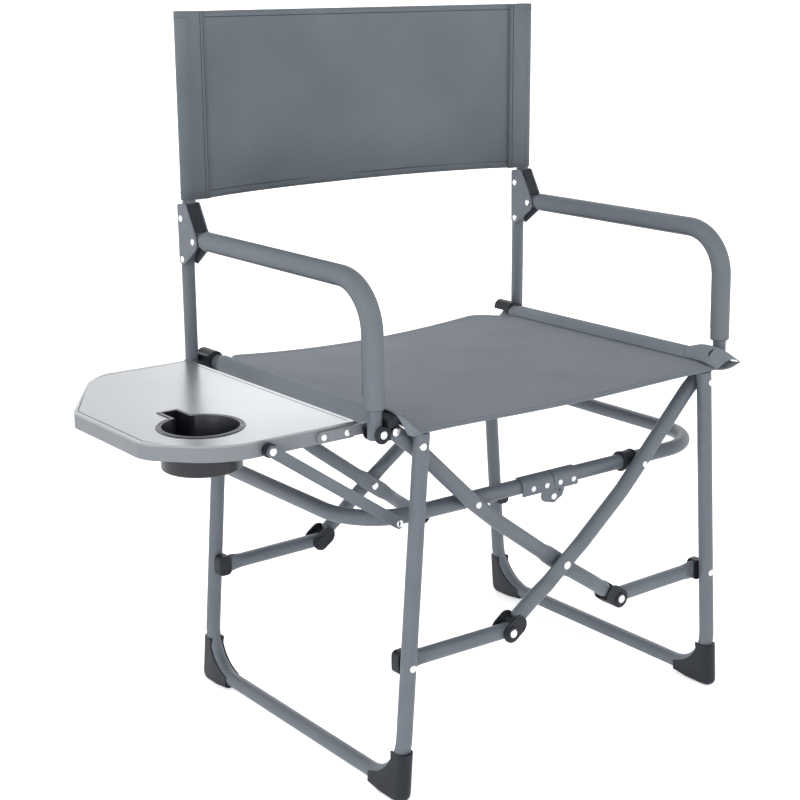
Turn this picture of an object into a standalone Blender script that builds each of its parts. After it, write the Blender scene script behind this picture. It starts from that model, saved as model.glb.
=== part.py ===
"""Folding camp director chair with a side table and cup holder.

The chair faces -Y, +X is its left-hand side when seated, and +Z is up. Every piece is drawn in the
chair's own frame, whose origin is on the floor under the middle of the seat. One empty then moves the
whole chair so that the origin of the model is the bottom centre of its bounding box.
"""
import math

import bmesh
import bpy
from mathutils import Vector

MM = 0.001
GAP = 0.3 * MM                       # clearance between pieces that touch

# Driving dimensions of the frame
TUBE_SIDES = 12
TUBE_R = 9.5 * MM                    # legs, scissor bars, links, hoop and seat rails
ARM_R = 8.5 * MM                     # arm frames and back posts
LEG_TOP_Z = 441 * MM
LEG_X_FLOOR = 260.2 * MM             # leg axis carried down to the floor
LEG_SPLAY = 0.0737                   # metres outward for each metre down
LEG_Y = 215.5 * MM
RAIL_Z = 15 * MM                     # axis of the floor rail
LEG_BEND = 62 * MM

# Pivots of the folding linkage, as (x, z) on the positive side
CENTRE = (0, 230 * MM)               # where the two bars cross
LEG_PIVOT = (232 * MM, 427 * MM)
ARM_PIVOT = (255 * MM, 444 * MM)
HOOP_PIVOT = (134 * MM, 333 * MM)
LINK_PIVOT = (90.3 * MM, 165 * MM)
LINK_LEG = (248 * MM, 165 * MM)
HOOP_PIN = (0, 312 * MM)
BAR_BEND = (98 * MM, 303 * MM)

# Layers of the scissor at front and rear, as distances from the middle of the chair
BAR_TOP_Y = 196.2 * MM
INNER_HOOP_Y = 194.0 * MM            # inner bar where the hoop is riveted on
INNER_MID_Y = 193.1 * MM
OUTER_HOOP_Y = 199.0 * MM
OUTER_MID_Y = 206.2 * MM
LINK_Y = 203.3 * MM
LINK_LEG_Y = 199.4 * MM
FLAT = 12.4 * MM                     # thickness of a bar pressed flat at the crossing
HEAD_CHAMFER = 4 * MM                # top end of a bar, so that it can turn in its clevis
BAR_STOP = 18.7 * MM                 # lower end of a bar, from the link pivot
BAR_CHAMFER = 4 * MM                 # at that end, so that the link can fold past it
HOOP_Y = 174.5 * MM
HOOP_X = 283 * MM
HOOP_Z = 331 * MM
HOOP_BEND = 75 * MM

# Seat, arms and back
SEAT_RAIL_X = 252 * MM
SEAT_RAIL_Z = 450 * MM
SEAT_RAIL_END = 183.6 * MM
SEAT_HALF = 222 * MM                # half of the seat cloth from front to rear
SEAT_SAG = 8 * MM
ARM_X = 277.5 * MM
ARM_Z = 612 * MM
POST_BOTTOM = 437 * MM
FRONT_POST_Y = 195.5 * MM
REAR_POST_Y = 204.4 * MM
FRONT_BEND = 58 * MM
REAR_BEND = 38 * MM
SLEEVE_R = 12.2 * MM
BACK_PIVOT = (198 * MM, 638 * MM)    # (y, z) of the back fold
BACK_Y = 196 * MM
BACK_TOP = 887 * MM
BACK_BOTTOM = 660 * MM

# Side table
TABLE_HINGE = (277.5 * MM, 447 * MM)
TABLE_IN = 291 * MM
TABLE_OUT = 520 * MM
TABLE_FRONT = 177 * MM
TABLE_REAR = 191 * MM
TABLE_TOP = 457 * MM
TABLE_DEEP = 18.5 * MM
SUPPORT_TOP = (405.6 * MM, 445 * MM)
SUPPORT_LOW = (238.7 * MM, 329 * MM)
CUP_X = 436 * MM
CUP_Y = -90 * MM
CUP_R = 45 * MM
CUP_RING_R = 49 * MM
CUP_DEPTH = 46 * MM

SHIFT = Vector(((TABLE_OUT - HOOP_X - TUBE_R * math.cos(math.pi / TUBE_SIDES)) / 2, 0, 0))
SIDES = {"left": -1, "right": 1}     # as seen from the front
ENDS = {"front": -1, "rear": 1}


# ---------------------------------------------------------------- materials and objects

def clear_scene():
    for obj in list(bpy.data.objects):
        bpy.data.objects.remove(obj, do_unlink=True)


def make_material(name, colour, roughness, metallic):
    material = bpy.data.materials.new(name)
    material.use_nodes = True
    shader = material.node_tree.nodes["Principled BSDF"]
    shader.inputs["Base Color"].default_value = (*colour, 1)
    shader.inputs["Roughness"].default_value = roughness
    shader.inputs["Metallic"].default_value = metallic
    material.diffuse_color = (*colour, 1)
    return material


LOOKS = {
    "frame": ((0.155, 0.175, 0.195), 0.42, 0.35),
    "plastic": ((0.012, 0.014, 0.02), 0.5, 0.0),
    "steel": ((0.75, 0.76, 0.78), 0.25, 1.0),
    "fabric": ((0.105, 0.125, 0.145), 0.85, 0.0),
    "sleeve": ((0.14, 0.155, 0.17), 0.7, 0.0),
    "top": ((0.6, 0.62, 0.64), 0.32, 0.6),
}


def make_piece(name, mesh_builder, body, look):
    """Turn a bmesh drawn in the chair's frame into an object that hangs on its body's empty."""
    mesh = bpy.data.meshes.new(name)
    bmesh.ops.recalc_face_normals(mesh_builder, faces=mesh_builder.faces[:])
    mesh_builder.to_mesh(mesh)
    mesh_builder.free()
    obj = bpy.data.objects.new(name, mesh)
    bpy.context.scene.collection.objects.link(obj)
    mesh.materials.append(MATERIALS[look])
    mesh.shade_smooth()
    mesh.set_sharp_from_angle(angle=math.radians(32))
    obj.parent = body
    obj.location = -Vector(body["pivot_at"])
    return obj


def make_body(name, pivot=(0, 0, 0), parent=None):
    """An empty on the joint axis of one moving body."""
    empty = bpy.data.objects.new(name, None)
    bpy.context.scene.collection.objects.link(empty)
    empty.empty_display_size = 20 * MM
    here = Vector(pivot)
    empty["pivot_at"] = tuple(here)
    if parent is None:
        empty.location = here + SHIFT
    else:
        empty.parent = parent
        empty.location = here - Vector(parent["pivot_at"])
    return empty


def as_guide(obj):
    obj.hide_render = True
    obj.display_type = "WIRE"
    return obj


def combine(obj, other, operation):
    as_guide(other)
    modifier = obj.modifiers.new(operation.lower(), "BOOLEAN")
    modifier.operation = operation
    modifier.solver = "EXACT"
    modifier.object = other


def cut(obj, other):
    combine(obj, other, "DIFFERENCE")


def join(obj, other):
    combine(obj, other, "UNION")


# ---------------------------------------------------------------- shapes

def round_path(points, radii, step_deg=11.25):
    """A polyline with its inner corners replaced by arcs of the given radii."""
    path = [Vector(points[0])]
    for index in range(1, len(points) - 1):
        corner = Vector(points[index])
        before = (Vector(points[index - 1]) - corner).normalized()
        after = (Vector(points[index + 1]) - corner).normalized()
        turn = math.pi - before.angle(after)
        radius = radii[index - 1]
        if radius == 0 or turn < 1e-4:
            path.append(corner)
            continue
        reach = radius * math.tan(turn / 2)
        normal = (before + after).normalized()
        centre = corner + normal * (radius / math.cos(turn / 2))
        start = corner + before * reach - centre
        end = corner + after * reach - centre
        count = max(2, math.ceil(math.degrees(turn) / step_deg))
        for k in range(count + 1):
            path.append(centre + start.normalized().slerp(end.normalized(), k / count) * radius)
    path.append(Vector(points[-1]))
    return path


def flatten_at(where, reach, thickness, radius):
    """A section rule: (thickness factor, width factor) near a point where the tube is pressed flat."""
    spot = Vector(where)

    def factors(point):
        distance = (point - spot).length
        blend = min(1, max(0, (reach - distance) / (reach * 0.45)))
        blend = blend * blend * (3 - 2 * blend)
        thin = 1 - blend * (1 - thickness / (2 * radius))
        return thin, 1 + 0.55 * (1 - thin)

    return factors


def sweep(points, radius, sides=TUBE_SIDES, press=None, cap=(0, 0), press_axis=(0, 1, 0)):
    """A round bar along a path. Its ends are flat, or chamfered by the two sizes in cap."""
    bm = bmesh.new()
    path = [Vector(p) for p in points]
    if cap[0]:
        path.insert(1, path[0] + (path[1] - path[0]).normalized() * cap[0])
    if cap[1]:
        path.insert(-1, path[-1] + (path[-2] - path[-1]).normalized() * cap[1])
    rings = []
    flat_axis = Vector(press_axis)
    up = None
    for index, point in enumerate(path):
        ahead = path[min(index + 1, len(path) - 1)] - point
        behind = point - path[max(index - 1, 0)]
        ahead = ahead.normalized() if ahead.length > 0 else behind.normalized()
        behind = behind.normalized() if behind.length > 0 else ahead
        direction = (ahead + behind).normalized()
        mitre = 1 / max(0.5, direction.dot(ahead))
        if up is None:
            up = flat_axis - direction * flat_axis.dot(direction)
            if up.length < 0.1:
                up = Vector((1, 0, 0)) - direction * direction.x
        up = (up - direction * up.dot(direction)).normalized()
        side = direction.cross(up)
        size = radius
        if index == 0:
            size -= cap[0]
        if index == len(path) - 1:
            size -= cap[1]
        thin, wide = press(point) if press else (1, 1)
        bend_normal = ahead - behind
        ring = []
        for k in range(sides):
            angle = 2 * math.pi * (k + 0.5) / sides
            offset = up * (math.cos(angle) * size * thin) + side * (math.sin(angle) * size * wide)
            if bend_normal.length > 1e-6:
                inward = bend_normal.normalized()
                offset += inward * offset.dot(inward) * (mitre - 1)
            ring.append(bm.verts.new(point + offset))
        rings.append(ring)
    for low, high in zip(rings, rings[1:]):
        for k in range(sides):
            bm.faces.new((low[k], low[(k + 1) % sides], high[(k + 1) % sides], high[k]))
    bm.faces.new(list(reversed(rings[0])))
    bm.faces.new(rings[-1])
    return bm


def rod(start, end, radius, sides=20):
    """A plain round rod between two points."""
    return sweep([start, end], radius, sides)


def pipe(start, end, outer, inner, sides=24):
    """A hollow round piece, open at both ends."""
    bm = bmesh.new()
    direction = (Vector(end) - Vector(start)).normalized()
    up = direction.orthogonal().normalized()
    side = direction.cross(up)
    loops = []
    for centre, radius in ((start, outer), (end, outer), (end, inner), (start, inner)):
        loop = []
        for k in range(sides):
            angle = 2 * math.pi * k / sides
            spoke = up * math.cos(angle) + side * math.sin(angle)
            loop.append(bm.verts.new(Vector(centre) + spoke * radius))
        loops.append(loop)
    for a, b in zip(loops, loops[1:] + loops[:1]):
        for k in range(sides):
            bm.faces.new((a[k], a[(k + 1) % sides], b[(k + 1) % sides], b[k]))
    return bm


def arc(cx, cy, radius, start_deg, end_deg, count):
    """Points of a circular arc in a drawing plane."""
    out = []
    for k in range(count + 1):
        angle = math.radians(start_deg + (end_deg - start_deg) * k / count)
        out.append((cx + radius * math.cos(angle), cy + radius * math.sin(angle)))
    return out


def plate(outline, plane, low, high):
    """An outline extruded between two distances along the axis that is not in its plane."""
    bm = bmesh.new()

    def lift(point, depth):
        a, b = point
        return {"xz": (a, depth, b), "yz": (depth, a, b), "xy": (a, b, depth)}[plane]

    bottom = [bm.verts.new(lift(p, low)) for p in outline]
    top = [bm.verts.new(lift(p, high)) for p in outline]
    bm.faces.new(list(reversed(bottom)))
    bm.faces.new(top)
    for k in range(len(outline)):
        n = (k + 1) % len(outline)
        bm.faces.new((bottom[k], bottom[n], top[n], top[k]))
    bmesh.ops.recalc_face_normals(bm, faces=bm.faces[:])
    return bm


def box(low, high):
    return plate([(low[0], low[1]), (high[0], low[1]), (high[0], high[1]), (low[0], high[1])],
                 "xy", low[2], high[2])


def capsule(a, b, radius_a, radius_b, count=10):
    """The outline around two circles of different size."""
    ax, ay = a
    bx, by = b
    heading = math.degrees(math.atan2(by - ay, bx - ax))
    distance = math.hypot(bx - ax, by - ay)
    lean = math.degrees(math.asin((radius_a - radius_b) / distance))
    return (arc(ax, ay, radius_a, heading + 90 - lean, heading + 270 + lean, count)
            + arc(bx, by, radius_b, heading - 90 + lean, heading + 90 - lean, count))


def soften(outline, radii, count=4):
    """An outline with its corners rounded."""
    total = len(outline)
    out = []
    for k in range(total):
        corner = Vector((*outline[k], 0))
        before = (Vector((*outline[k - 1], 0)) - corner).normalized()
        after = (Vector((*outline[(k + 1) % total], 0)) - corner).normalized()
        radius = radii[k] if isinstance(radii, (list, tuple)) else radii
        if radius == 0:
            out.append(outline[k])
            continue
        half = before.angle(after) / 2
        centre = corner + (before + after).normalized() * (radius / math.sin(half))
        start = corner + before * (radius / math.tan(half)) - centre
        end = corner + after * (radius / math.tan(half)) - centre
        for step in range(count + 1):
            point = centre + start.normalized().slerp(end.normalized(), step / count) * radius
            out.append((point.x, point.y))
    return out


def mirrored(outline, sign):
    return [(sign * a, b) for a, b in outline]


# ---------------------------------------------------------------- bodies

def at(pair, sign, y=0.0):
    return (sign * pair[0], y, pair[1])


clear_scene()
MATERIALS = {name: make_material(name, *look) for name, look in LOOKS.items()}

pivots = make_body("body_pivots", at(CENTRE, 1))
BODY = {"pivots": pivots, "hoop_pin": make_body("body_hoop_pin", at(HOOP_PIN, 1), pivots)}
for side_name, sx in SIDES.items():
    bars = make_body("body_bars_" + side_name, at(CENTRE, 1), pivots)
    arm = make_body("body_arm_" + side_name, at(ARM_PIVOT, sx), bars)
    BODY["bars_" + side_name] = bars
    BODY["arm_" + side_name] = arm
    BODY["leg_" + side_name] = make_body("body_leg_" + side_name, at(LEG_PIVOT, sx), bars)
    BODY["hoop_" + side_name] = make_body("body_hoop_" + side_name, at(HOOP_PIN, 1), BODY["hoop_pin"])
    back_axis = (sx * ARM_X, BACK_PIVOT[0], BACK_PIVOT[1])
    BODY["back_" + side_name] = make_body("body_back_" + side_name, back_axis, arm)
for side_name, sx in SIDES.items():
    # the link under one side hangs from the bars that start at the top of the other side
    other = "right" if side_name == "left" else "left"
    BODY["link_" + side_name] = make_body("body_link_" + side_name, at(LINK_PIVOT, sx), BODY["bars_" + other])
BODY["table"] = make_body("body_table", at(TABLE_HINGE, -1), BODY["arm_left"])
BODY["support"] = make_body("body_support", at(SUPPORT_TOP, -1), BODY["table"])


# ---------------------------------------------------------------- legs

def leg_x(z):
    return LEG_X_FLOOR - LEG_SPLAY * z


def leg_path(sx):
    corners = []
    for y, z in ((-LEG_Y, LEG_TOP_Z), (-LEG_Y, RAIL_Z), (LEG_Y, RAIL_Z), (LEG_Y, LEG_TOP_Z)):
        corners.append((sx * leg_x(z), y, z))
    return round_path(corners, (LEG_BEND, LEG_BEND), 10)


def boot_shell(sx, sy):
    """A slim moulded corner with a rounded outer face, drawn as layers across its width."""
    top = 60 * MM
    heel = 163 * MM
    width = 11 * MM
    reach = 11.6 * MM
    inner = arc(LEG_Y - LEG_BEND, RAIL_Z + LEG_BEND, LEG_BEND - 4 * MM, 0, -90, 10)
    inner = [(y, z) for y, z in inner if z < top - 8 * MM and heel + 3 * MM < y < LEG_Y - 6 * MM]
    bm = bmesh.new()
    rings = []
    for degrees in (-78, -52, -26, 0, 26, 52, 78):
        angle = math.radians(degrees)
        back = LEG_Y + reach * math.cos(angle)
        low = max(0, abs(degrees) - 26) * 0.06 * MM
        outline = [(back, top), (LEG_Y - 11.5 * MM, top)] + inner
        outline += [(heel, RAIL_Z + 4 * MM), (heel, 3 * MM + low), (LEG_Y - 30 * MM, low),
                    (LEG_Y + 1 * MM, low), (back - 1 * MM, low + 8 * MM)]
        across = width * math.sin(angle)
        rings.append([bm.verts.new((sx * leg_x(z) + across, sy * y, z)) for y, z in outline])
    count = len(rings[0])
    for low_ring, high_ring in zip(rings, rings[1:]):
        for k in range(count):
            n = (k + 1) % count
            bm.faces.new((low_ring[k], low_ring[n], high_ring[n], high_ring[k]))
    bm.faces.new(list(reversed(rings[0])))
    bm.faces.new(rings[-1])
    bmesh.ops.recalc_face_normals(bm, faces=bm.faces[:])
    return bm


def make_legs():
    for side_name, sx in SIDES.items():
        body = BODY["leg_" + side_name]
        path = leg_path(sx)
        frame = sweep(path, TUBE_R, TUBE_SIDES, cap=(1.5 * MM, 1.5 * MM))
        make_piece("leg_frame_" + side_name, frame, body, "frame")
        for end_name, sy in ENDS.items():
            boot = make_piece("boot_{}_{}".format(end_name, side_name), boot_shell(sx, sy), body, "plastic")
            cutter = make_piece("cut_boot_{}_{}".format(end_name, side_name),
                                sweep(path, TUBE_R + GAP, TUBE_SIDES), body, "plastic")
            cut(boot, as_guide(cutter))


# ---------------------------------------------------------------- scissor bars, connectors and links

def bar_path(sx, sy, outer):
    """From the top at side sx down across the middle to the connector on the other side."""
    mid_y = OUTER_MID_Y if outer else INNER_MID_Y
    hoop_y = OUTER_HOOP_Y if outer else INNER_HOOP_Y
    top = Vector((ARM_PIVOT[0], 0, ARM_PIVOT[1]))
    bend = Vector((BAR_BEND[0], 0, BAR_BEND[1]))
    foot = Vector((-LINK_PIVOT[0], 0, LINK_PIVOT[1]))
    centre = Vector((CENTRE[0], 0, CENTRE[1]))
    head = top + (top - bend).normalized() * HEAD_CHAMFER
    stop = foot + (centre - foot).normalized() * BAR_STOP
    spots = [(head, BAR_TOP_Y), (Vector((LEG_PIVOT[0] - 14 * MM, 0, LEG_PIVOT[1] - 13 * MM)), BAR_TOP_Y),
             (Vector((HOOP_PIVOT[0], 0, HOOP_PIVOT[1])), hoop_y), (bend, (hoop_y + mid_y) / 2),
             (centre.lerp(bend, 0.3), mid_y), (centre.lerp(foot, 0.3), mid_y),
             (centre.lerp(foot, 0.54), LINK_Y), (stop, LINK_Y)]
    corners = [(sx * spot.x, sy * y, spot.z) for spot, y in spots]
    radii = (120 * MM, 120 * MM, 160 * MM, 40 * MM, 30 * MM, 20 * MM)
    return round_path(corners, radii, 9)


def refine(path, where, reach, step):
    """Extra points near one spot, so that a pressed section can follow them."""
    spot = Vector(where)
    out = [path[0]]
    for a, b in zip(path, path[1:]):
        line = b - a
        count = max(1, math.ceil(line.length / step))
        for k in range(1, count):
            point = a.lerp(b, k / count)
            if (point - spot).length < reach + step:
                out.append(point)
        out.append(b)
    return out


def make_bars():
    for side_name, sx in SIDES.items():
        outer = side_name == "right"
        body = BODY["bars_" + side_name]
        for end_name, sy in ENDS.items():
            mid_y = OUTER_MID_Y if outer else INNER_MID_Y
            crossing = (0, sy * mid_y, CENTRE[1])
            press = flatten_at(crossing, 34 * MM, FLAT, TUBE_R)
            path = refine(bar_path(sx, sy, outer), crossing, 34 * MM, 10 * MM)
            tube = sweep(path, TUBE_R, TUBE_SIDES, press, cap=(HEAD_CHAMFER, BAR_CHAMFER))
            bar = make_piece("bar_{}_{}".format(end_name, side_name), tube, body, "frame")
            hole = make_piece("cut_bar_{}_{}".format(end_name, side_name),
                              rod((0, sy * 0.15, CENTRE[1]), (0, sy * 0.25, CENTRE[1]), 3.4 * MM, 16),
                              body, "steel")
            cut(bar, as_guide(hole))
            make_connector(end_name, side_name, sx, sy, body)
    for end_name, sy in ENDS.items():
        bolt = make_piece("centre_rivet_" + end_name,
                          rod((0, sy * 185.2 * MM, CENTRE[1]), (0, sy * 214.2 * MM, CENTRE[1]), 3 * MM, 16),
                          BODY["pivots"], "steel")
        for inner_face, outer_face, name in ((212.7, 214.6, "out"), (184.8, 186.6, "in")):
            head = make_piece("join_{}_{}".format(name, end_name),
                              rod((0, sy * inner_face * MM, CENTRE[1]), (0, sy * outer_face * MM, CENTRE[1]),
                                  5.5 * MM, 20), BODY["pivots"], "steel")
            join(bolt, head)


def make_connector(end_name, side_name, sx, sy, body):
    """A black clevis on the low end of a bar: two cheeks that hold the end of a link, and a spine below."""
    hub = Vector((-sx * LINK_PIVOT[0], sy * LINK_Y, LINK_PIVOT[1]))
    toward = (Vector((0, hub.y, CENTRE[1])) - hub).normalized()
    below = Vector((toward.z, 0, -toward.x)) * (-sx)
    if below.z > 0:
        below = -below
    name = "connector_{}_{}".format(end_name, side_name)
    far = hub + toward * 12.4 * MM
    cheek_in = 9.9 * MM
    cheek_out = 12.8 * MM
    radius = 12.2 * MM
    cheek = capsule((hub.x, hub.z), (far.x, far.z), radius, radius, 10)
    socket = make_piece(name, plate(cheek, "xz", hub.y - cheek_out, hub.y - cheek_in), body, "plastic")
    join(socket, make_piece("join_far_" + name, plate(cheek, "xz", hub.y + cheek_in, hub.y + cheek_out),
                            body, "plastic"))
    spine = []
    for along, aside in ((-3.5, 10.4), (15.5, 10.4), (15.5, 11.8), (-3.5, 11.8)):
        point = hub + toward * along * MM + below * aside * MM
        spine.append((point.x, point.z))
    join(socket, make_piece("join_spine_" + name, plate(spine, "xz", hub.y - cheek_out, hub.y + cheek_out),
                            body, "plastic"))


def make_links():
    for side_name, sx in SIDES.items():
        body = BODY["link_" + side_name]
        for end_name, sy in ENDS.items():
            start = Vector((sx * LINK_PIVOT[0], sy * LINK_Y, LINK_PIVOT[1]))
            end = Vector((sx * LINK_LEG[0], sy * LINK_LEG_Y, LINK_LEG[1]))
            along = (end - start).normalized()
            press = flatten_at(end, 30 * MM, 9.5 * MM, TUBE_R)
            path = refine([start - along * 7 * MM, end], end, 30 * MM, 8 * MM)
            tube = sweep(path, TUBE_R, TUBE_SIDES, press, cap=(4 * MM, 1 * MM))
            make_piece("link_{}_{}".format(end_name, side_name), tube, body, "frame")
            near = end.x - sx * 12 * MM
            far = end.x + sx * 7 * MM
            outline = soften([(near, end.z - 13.5 * MM), (far, end.z - 13.5 * MM),
                              (far, end.z + 13.5 * MM), (near, end.z + 13.5 * MM)], 5 * MM)
            outer_face = LEG_Y - TUBE_R - GAP
            block = plate(outline, "xz", sy * outer_face, sy * (LINK_LEG_Y - 7.4 * MM))
            cap = make_piece("link_cap_{}_{}".format(end_name, side_name), block, body, "plastic")
            mouth = sorted((end.x + sx * 5 * MM, end.x - sx * 30 * MM))
            deep = 5.3 * MM
            tall = 12.2 * MM
            hollow = box((mouth[0], end.y - deep, end.z - tall), (mouth[1], end.y + deep, end.z + tall))
            socket = make_piece("cut_cap_{}_{}".format(end_name, side_name), hollow, body, "plastic")
            cut(cap, as_guide(socket))


# ---------------------------------------------------------------- hoop under the seat

def make_hoop():
    joint_gap = 0.6 * MM
    for side_name, sx in SIDES.items():
        body = BODY["hoop_" + side_name]
        corners = [(sx * joint_gap, -HOOP_Y, HOOP_Z), (sx * HOOP_X, -HOOP_Y, HOOP_Z),
                   (sx * HOOP_X, HOOP_Y, HOOP_Z), (sx * joint_gap, HOOP_Y, HOOP_Z)]
        path = round_path(corners, (HOOP_BEND, HOOP_BEND), 9)
        make_piece("hoop_" + side_name, sweep(path, TUBE_R, TUBE_SIDES), body, "frame")
        for end_name, sy in ENDS.items():
            make_hinge(end_name, side_name, sx, sy, body)
    for end_name, sy in ENDS.items():
        face = HOOP_Y + TUBE_R
        make_piece("hoop_pin_" + end_name,
                   rod((0, sy * (face - 4.4 * MM), HOOP_PIN[1]), (0, sy * (face + 3.4 * MM), HOOP_PIN[1]),
                       3 * MM, 16), BODY["hoop_pin"], "steel")
        saddle_x = 132.5 * MM
        half = 11.5 * MM
        clip = pipe((saddle_x - half, sy * HOOP_Y, HOOP_Z), (saddle_x + half, sy * HOOP_Y, HOOP_Z),
                    13 * MM, TUBE_R + GAP)
        make_piece("saddle_" + end_name, clip, BODY["hoop_right"], "plastic")


def make_hinge(end_name, side_name, sx, sy, body):
    """A pressed bracket on one half of the hoop, with a lug down to the hinge pin."""
    face = HOOP_Y + TUBE_R + GAP
    skin = 1.6 * MM
    name = "hinge_{}_{}".format(end_name, side_name)
    near = 0.8 * MM
    far = 50 * MM if side_name == "left" else 40 * MM
    # an upright flange outside the tube that follows it over the top
    inside = TUBE_R + 1.0 * MM
    hook = arc(HOOP_Y, HOOP_Z, inside, 0, 110, 9)
    hook += arc(HOOP_Y, HOOP_Z, inside + skin, 110, 0, 9)
    hook += [(face + skin, HOOP_Z - 0.5 * MM), (face + skin, 320.6 * MM), (face, 320.6 * MM),
             (face, HOOP_Z - 0.5 * MM)]
    ends = sorted((sx * near, sx * far))
    bracket = make_piece(name, plate(mirrored(hook, sy), "yz", ends[0], ends[1]), body, "frame")
    if side_name == "left":
        layer = (face, face + skin)
        lug = capsule((0, HOOP_PIN[1]), (-12 * MM, 315.5 * MM), 7.9 * MM, 8.1 * MM, 8)
    else:
        layer = (face - 2.0 * MM, face - 0.4 * MM)
        lug = capsule((0, HOOP_PIN[1]), (11 * MM, 314.5 * MM), 7.9 * MM, 6.4 * MM, 8)
    lug = plate(lug, "xz", sy * layer[0], sy * layer[1])
    join(bracket, make_piece("join_lug_" + name, lug, body, "frame"))
    if side_name == "right":
        step = box((11 * MM, min(sy * (face - 2.0 * MM), sy * (face + skin)), 316 * MM),
                   (17 * MM, max(sy * (face - 2.0 * MM), sy * (face + skin)), 322.5 * MM))
        join(bracket, make_piece("join_step_" + name, step, body, "frame"))
    bore = rod((0, sy * 0.16, HOOP_PIN[1]), (0, sy * 0.2, HOOP_PIN[1]), 3.35 * MM, 16)
    cut(bracket, as_guide(make_piece("cut_" + name, bore, body, "steel")))


# ---------------------------------------------------------------- seat rails, arms and clevises

def make_seat():
    for side_name, sx in SIDES.items():
        x = sx * SEAT_RAIL_X
        rail = sweep([(x, -SEAT_RAIL_END, SEAT_RAIL_Z), (x, SEAT_RAIL_END, SEAT_RAIL_Z)], TUBE_R, TUBE_SIDES)
        make_piece("seat_rail_" + side_name, rail, BODY["arm_" + side_name], "frame")
    body = BODY["arm_left"]
    bore = TUBE_R + 0.5 * MM
    seat = make_piece("seat_fabric", sling(SEAT_RAIL_X - 14 * MM, 165 * MM, bore + 1.6 * MM), body, "fabric")
    join(seat, make_piece("join_seat_middle", sling(SEAT_RAIL_X - 20 * MM, SEAT_HALF, 0), body, "fabric"))
    for side_name, sx in SIDES.items():
        tunnel = rod((sx * SEAT_RAIL_X, -0.3, SEAT_RAIL_Z), (sx * SEAT_RAIL_X, 0.3, SEAT_RAIL_Z), bore, 16)
        cut(seat, as_guide(make_piece("cut_seat_" + side_name, tunnel, body, "fabric")))


def sling(reach, half, tunnel):
    """The sagging sheet of the seat, drawn in XZ and extruded along Y, with a tube at each edge."""
    cloth = 1.6 * MM
    height = SEAT_RAIL_Z - 2 * MM
    across = [reach * k / 6 for k in range(-6, 7)]

    def surface(x):
        return height - SEAT_SAG * (1 - (x / SEAT_RAIL_X) ** 2)

    outline = [(x, surface(x) + cloth) for x in across]
    if tunnel:
        outline += arc(SEAT_RAIL_X, SEAT_RAIL_Z, tunnel, 178, -172, 16)
    outline += [(x, surface(x)) for x in reversed(across)]
    if tunnel:
        outline += arc(-SEAT_RAIL_X, SEAT_RAIL_Z, tunnel, -8, -358, 16)
    return plate(outline, "xz", -half, half)


def make_arms():
    for side_name, sx in SIDES.items():
        body = BODY["arm_" + side_name]
        x = sx * ARM_X
        corners = [(x, -FRONT_POST_Y, POST_BOTTOM), (x, -FRONT_POST_Y + 3.5 * MM, ARM_Z),
                   (x, REAR_POST_Y, ARM_Z + 1 * MM), (x, REAR_POST_Y, POST_BOTTOM)]
        path = round_path(corners, (FRONT_BEND, REAR_BEND), 9)
        tube = sweep(path, ARM_R, TUBE_SIDES, press_axis=(1, 0, 0))
        make_piece("arm_frame_" + side_name, tube, body, "frame")
        make_sleeve(side_name, corners, body)
        make_clevises(side_name, sx, body)
        make_bracket(side_name, sx, body)


def make_sleeve(side_name, corners, body):
    """A foam grip that hugs the arm from behind its front bend to the lower part of the front post."""
    start = Vector(corners[1]).lerp(Vector(corners[0]), (ARM_Z - 471 * MM) / (ARM_Z - POST_BOTTOM))
    stop = Vector((corners[1][0], 157 * MM, ARM_Z + 0.9 * MM))
    path = round_path([start, corners[1], stop], (FRONT_BEND,), 9)
    foam = sweep(path, SLEEVE_R, TUBE_SIDES, press_axis=(1, 0, 0))
    grip = make_piece("arm_sleeve_" + side_name, foam, body, "sleeve")
    inner = round_path(corners, (FRONT_BEND, REAR_BEND), 9)
    bore = make_piece("cut_sleeve_" + side_name, sweep(inner, ARM_R + GAP, TUBE_SIDES, press_axis=(1, 0, 0)),
                      body, "sleeve")
    cut(grip, as_guide(bore))


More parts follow.
